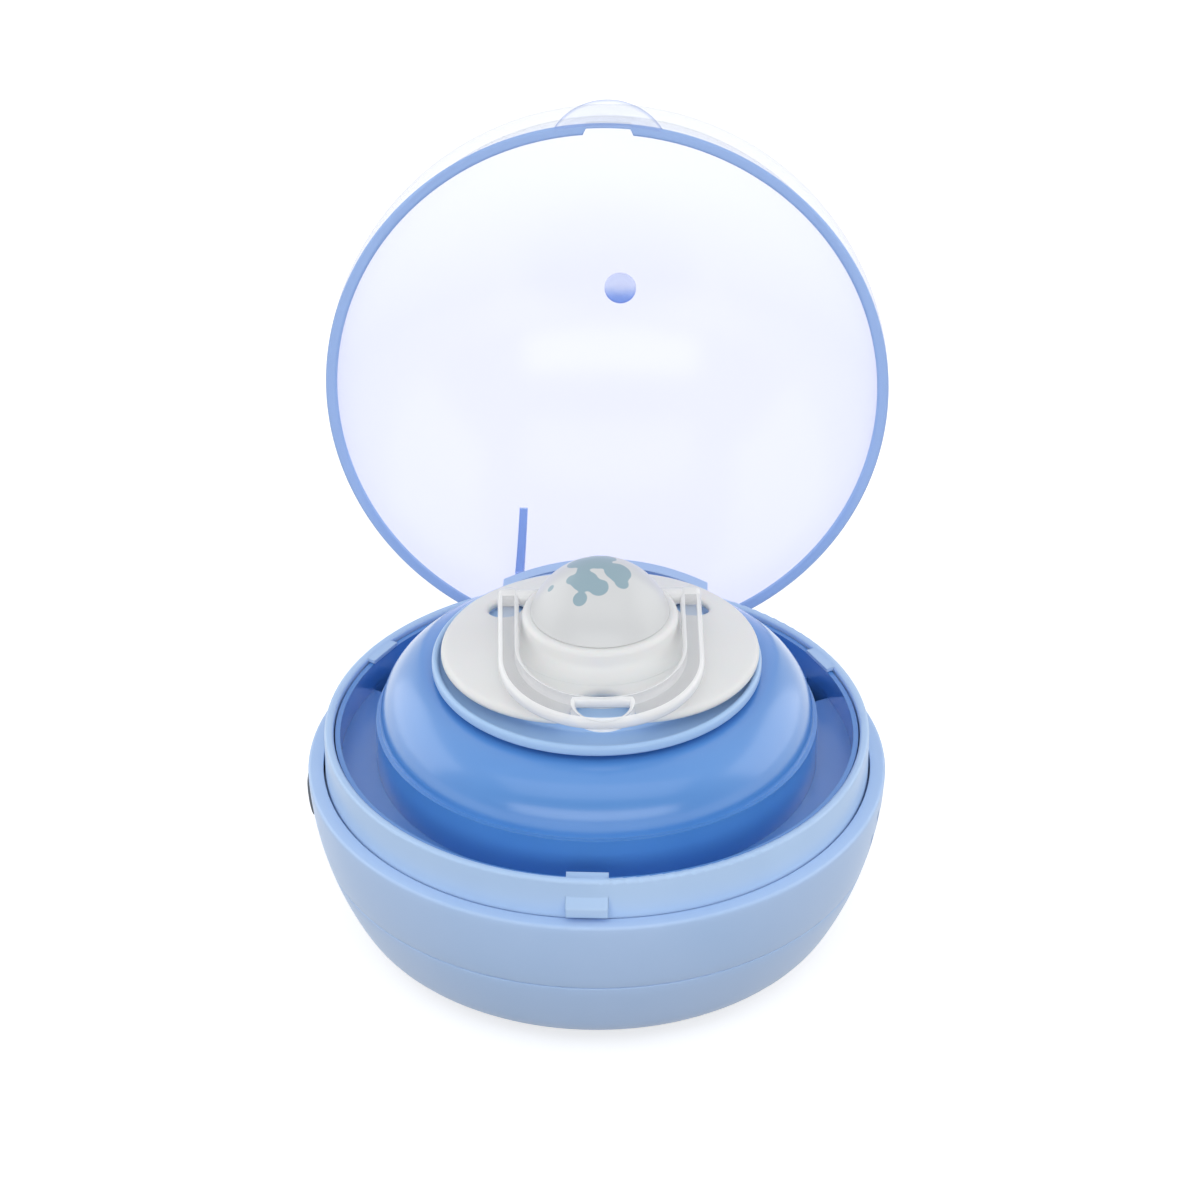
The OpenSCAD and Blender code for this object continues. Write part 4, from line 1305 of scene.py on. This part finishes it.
@dataclass
class Studio:
    """Camera, floor, world and soft lamps of the product picture."""

    azimuth: float = 1.95
    elevation: float = 32.11
    distance: float = 700.0
    aim: Triple = (0.49, 0.02, 55.47)
    picture_px: float = 1200.0
    focal_px: float = 4692.0
    sensor: float = 36.0
    lit: Triple = (0.0, 0.0, 0.05)

    def camera(self) -> None:
        """Places the camera on the line from the aim point, at the photograph's angle."""
        a, e = math.radians(self.azimuth), math.radians(self.elevation)
        back = np.array([math.sin(a) * math.cos(e), -math.cos(a) * math.cos(e), math.sin(e)])
        lens = bpy.data.cameras.new("camera")
        lens.sensor_width = self.sensor
        lens.lens = self.focal_px / self.picture_px * self.sensor
        lens.clip_start, lens.clip_end = 0.01, 20.0  # metres
        camera = bpy.data.objects.new("camera", lens)
        bpy.context.scene.collection.objects.link(camera)
        camera.location = (np.array(self.aim) + self.distance * back) * MM
        camera.rotation_euler = (math.pi / 2 - e, 0.0, a)
        bpy.context.scene.camera = camera

    def seen_ray(self, tree: NodeTree, glossy: bool) -> Node:
        """Gives 1 for rays that the camera sees straight or through a clear wall.

        Args:
            tree: the tree that gets the nodes.
            glossy: whether mirrored rays count too.

        Returns:
            The node that gives it.
        """
        path = add_node(tree, "ShaderNodeLightPath")
        seen = add_node(tree, "ShaderNodeMath", {
            0: path.outputs["Is Camera Ray"],
            1: path.outputs["Is Transmission Ray"]}, operation="MAXIMUM")
        if not glossy:
            return seen
        return add_node(tree, "ShaderNodeMath", {
            0: seen, 1: path.outputs["Is Glossy Ray"]}, operation="MAXIMUM")

    def floor(self) -> None:
        """Lays a wide white floor that keeps the object's shadow."""
        material, tree = new_material("studio floor")
        seen = self.seen_ray(tree, glossy=True)
        paint = add_node(tree, "ShaderNodeMix", {
            0: seen, 6: (0.25, 0.25, 0.25, 1.0), 7: (0.6, 0.6, 0.6, 1.0)}, data_type="RGBA")
        diffuse = add_node(tree, "ShaderNodeBsdfDiffuse", {"Color": paint.outputs[2]})
        glow = add_node(tree, "ShaderNodeEmission", {
            "Color": (1.0, 1.0, 1.0, 1.0), "Strength": 0.64})
        none = add_node(tree, "ShaderNodeEmission", {"Strength": 0.0})
        extra = add_node(tree, "ShaderNodeMixShader", {0: seen, 1: none, 2: glow})
        both = add_node(tree, "ShaderNodeAddShader", {0: diffuse, 1: extra})
        add_node(tree, "ShaderNodeOutputMaterial", {"Surface": both})
        half = 3.0  # metres
        mesh = bpy.data.meshes.new("studio_floor")
        corners = [(-half, -half, 0), (half, -half, 0), (half, half, 0), (-half, half, 0)]
        mesh.from_pydata(corners, [], [(0, 1, 2, 3)])
        mesh.materials.append(material)
        plane = bpy.data.objects.new("studio_floor", mesh)
        bpy.context.scene.collection.objects.link(plane)

    def world(self) -> None:
        """Fills the world with soft light: white to the camera, darker in front for gloss."""
        world = bpy.data.worlds.new("studio")
        world.use_nodes = True
        tree = world.node_tree
        tree.nodes.clear()
        way = add_node(tree, "ShaderNodeTexCoord")
        parts = add_node(tree, "ShaderNodeSeparateXYZ", {"Vector": way.outputs["Generated"]})
        depth = add_node(tree, "ShaderNodeMapRange", {
            "Value": parts.outputs["Y"], "From Min": -0.9, "From Max": 0.0, "To Min": 0.25,
            "To Max": 1.0})
        mirror = add_node(tree, "ShaderNodeBackground", {
            "Color": (0.95, 0.97, 1.0, 1.0), "Strength": depth})
        ambient = add_node(tree, "ShaderNodeBackground", {
            "Color": (0.95, 0.97, 1.0, 1.0), "Strength": 0.62})
        white = add_node(tree, "ShaderNodeBackground", {
            "Color": (1.0, 1.0, 1.0, 1.0), "Strength": 1.0})
        path = add_node(tree, "ShaderNodeLightPath")
        light = add_node(tree, "ShaderNodeMixShader", {
            0: path.outputs["Is Glossy Ray"], 1: ambient, 2: mirror})
        mix = add_node(tree, "ShaderNodeMixShader", {
            0: self.seen_ray(tree, glossy=False), 1: light, 2: white})
        add_node(tree, "ShaderNodeOutputWorld", {"Surface": mix})
        bpy.context.scene.world = world

    def lamp(self, name: str, place: Triple, size: Pair, watts: float) -> None:
        """Hangs one soft box that faces the object.

        Args:
            name: the lamp's name.
            place: its middle in metres.
            size: its width and height in metres.
            watts: its power.
        """
        light = bpy.data.lights.new(name, "AREA")
        light.shape = "RECTANGLE"
        light.size, light.size_y = size
        light.energy = watts
        lamp = bpy.data.objects.new(name, light)
        bpy.context.scene.collection.objects.link(lamp)
        lamp.location = place
        way = np.array(self.lit) - np.array(place)
        flat = math.hypot(way[0], way[1])
        lamp.rotation_euler = (math.atan2(flat, -way[2]), 0.0, math.atan2(-way[0], way[1]))

    def build(self) -> None:
        """Sets up the whole studio."""
        self.camera()
        self.floor()
        self.world()
        self.lamp("soft box left", (-0.9, 0.4, 0.42), (1.2, 0.8), 3.4)
        self.lamp("soft box right", (0.9, 0.4, 0.42), (1.2, 0.8), 3.4)
        self.lamp("soft box top", (0.0, -0.45, 0.95), (1.5, 0.6), 2.0)
        self.lamp("soft box front", (0.0, -1.05, 0.32), (1.8, 0.4), 4.6)
        bpy.context.scene.view_settings.view_transform = "Standard"


def main() -> None:
    """Loads the frame, dresses it, adds the finer pieces and sets up the studio."""
    logging.basicConfig(level=logging.INFO, format="%(message)s")
    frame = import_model()
    dresser = CadDresser(frame["nodes"])
    CaseDressing(dresser).build()
    Seat(dresser).build()
    ClearLid(dresser).build()
    Soother(dresser).build()
    Studio().build()


if __name__ == "__main__":
    main()
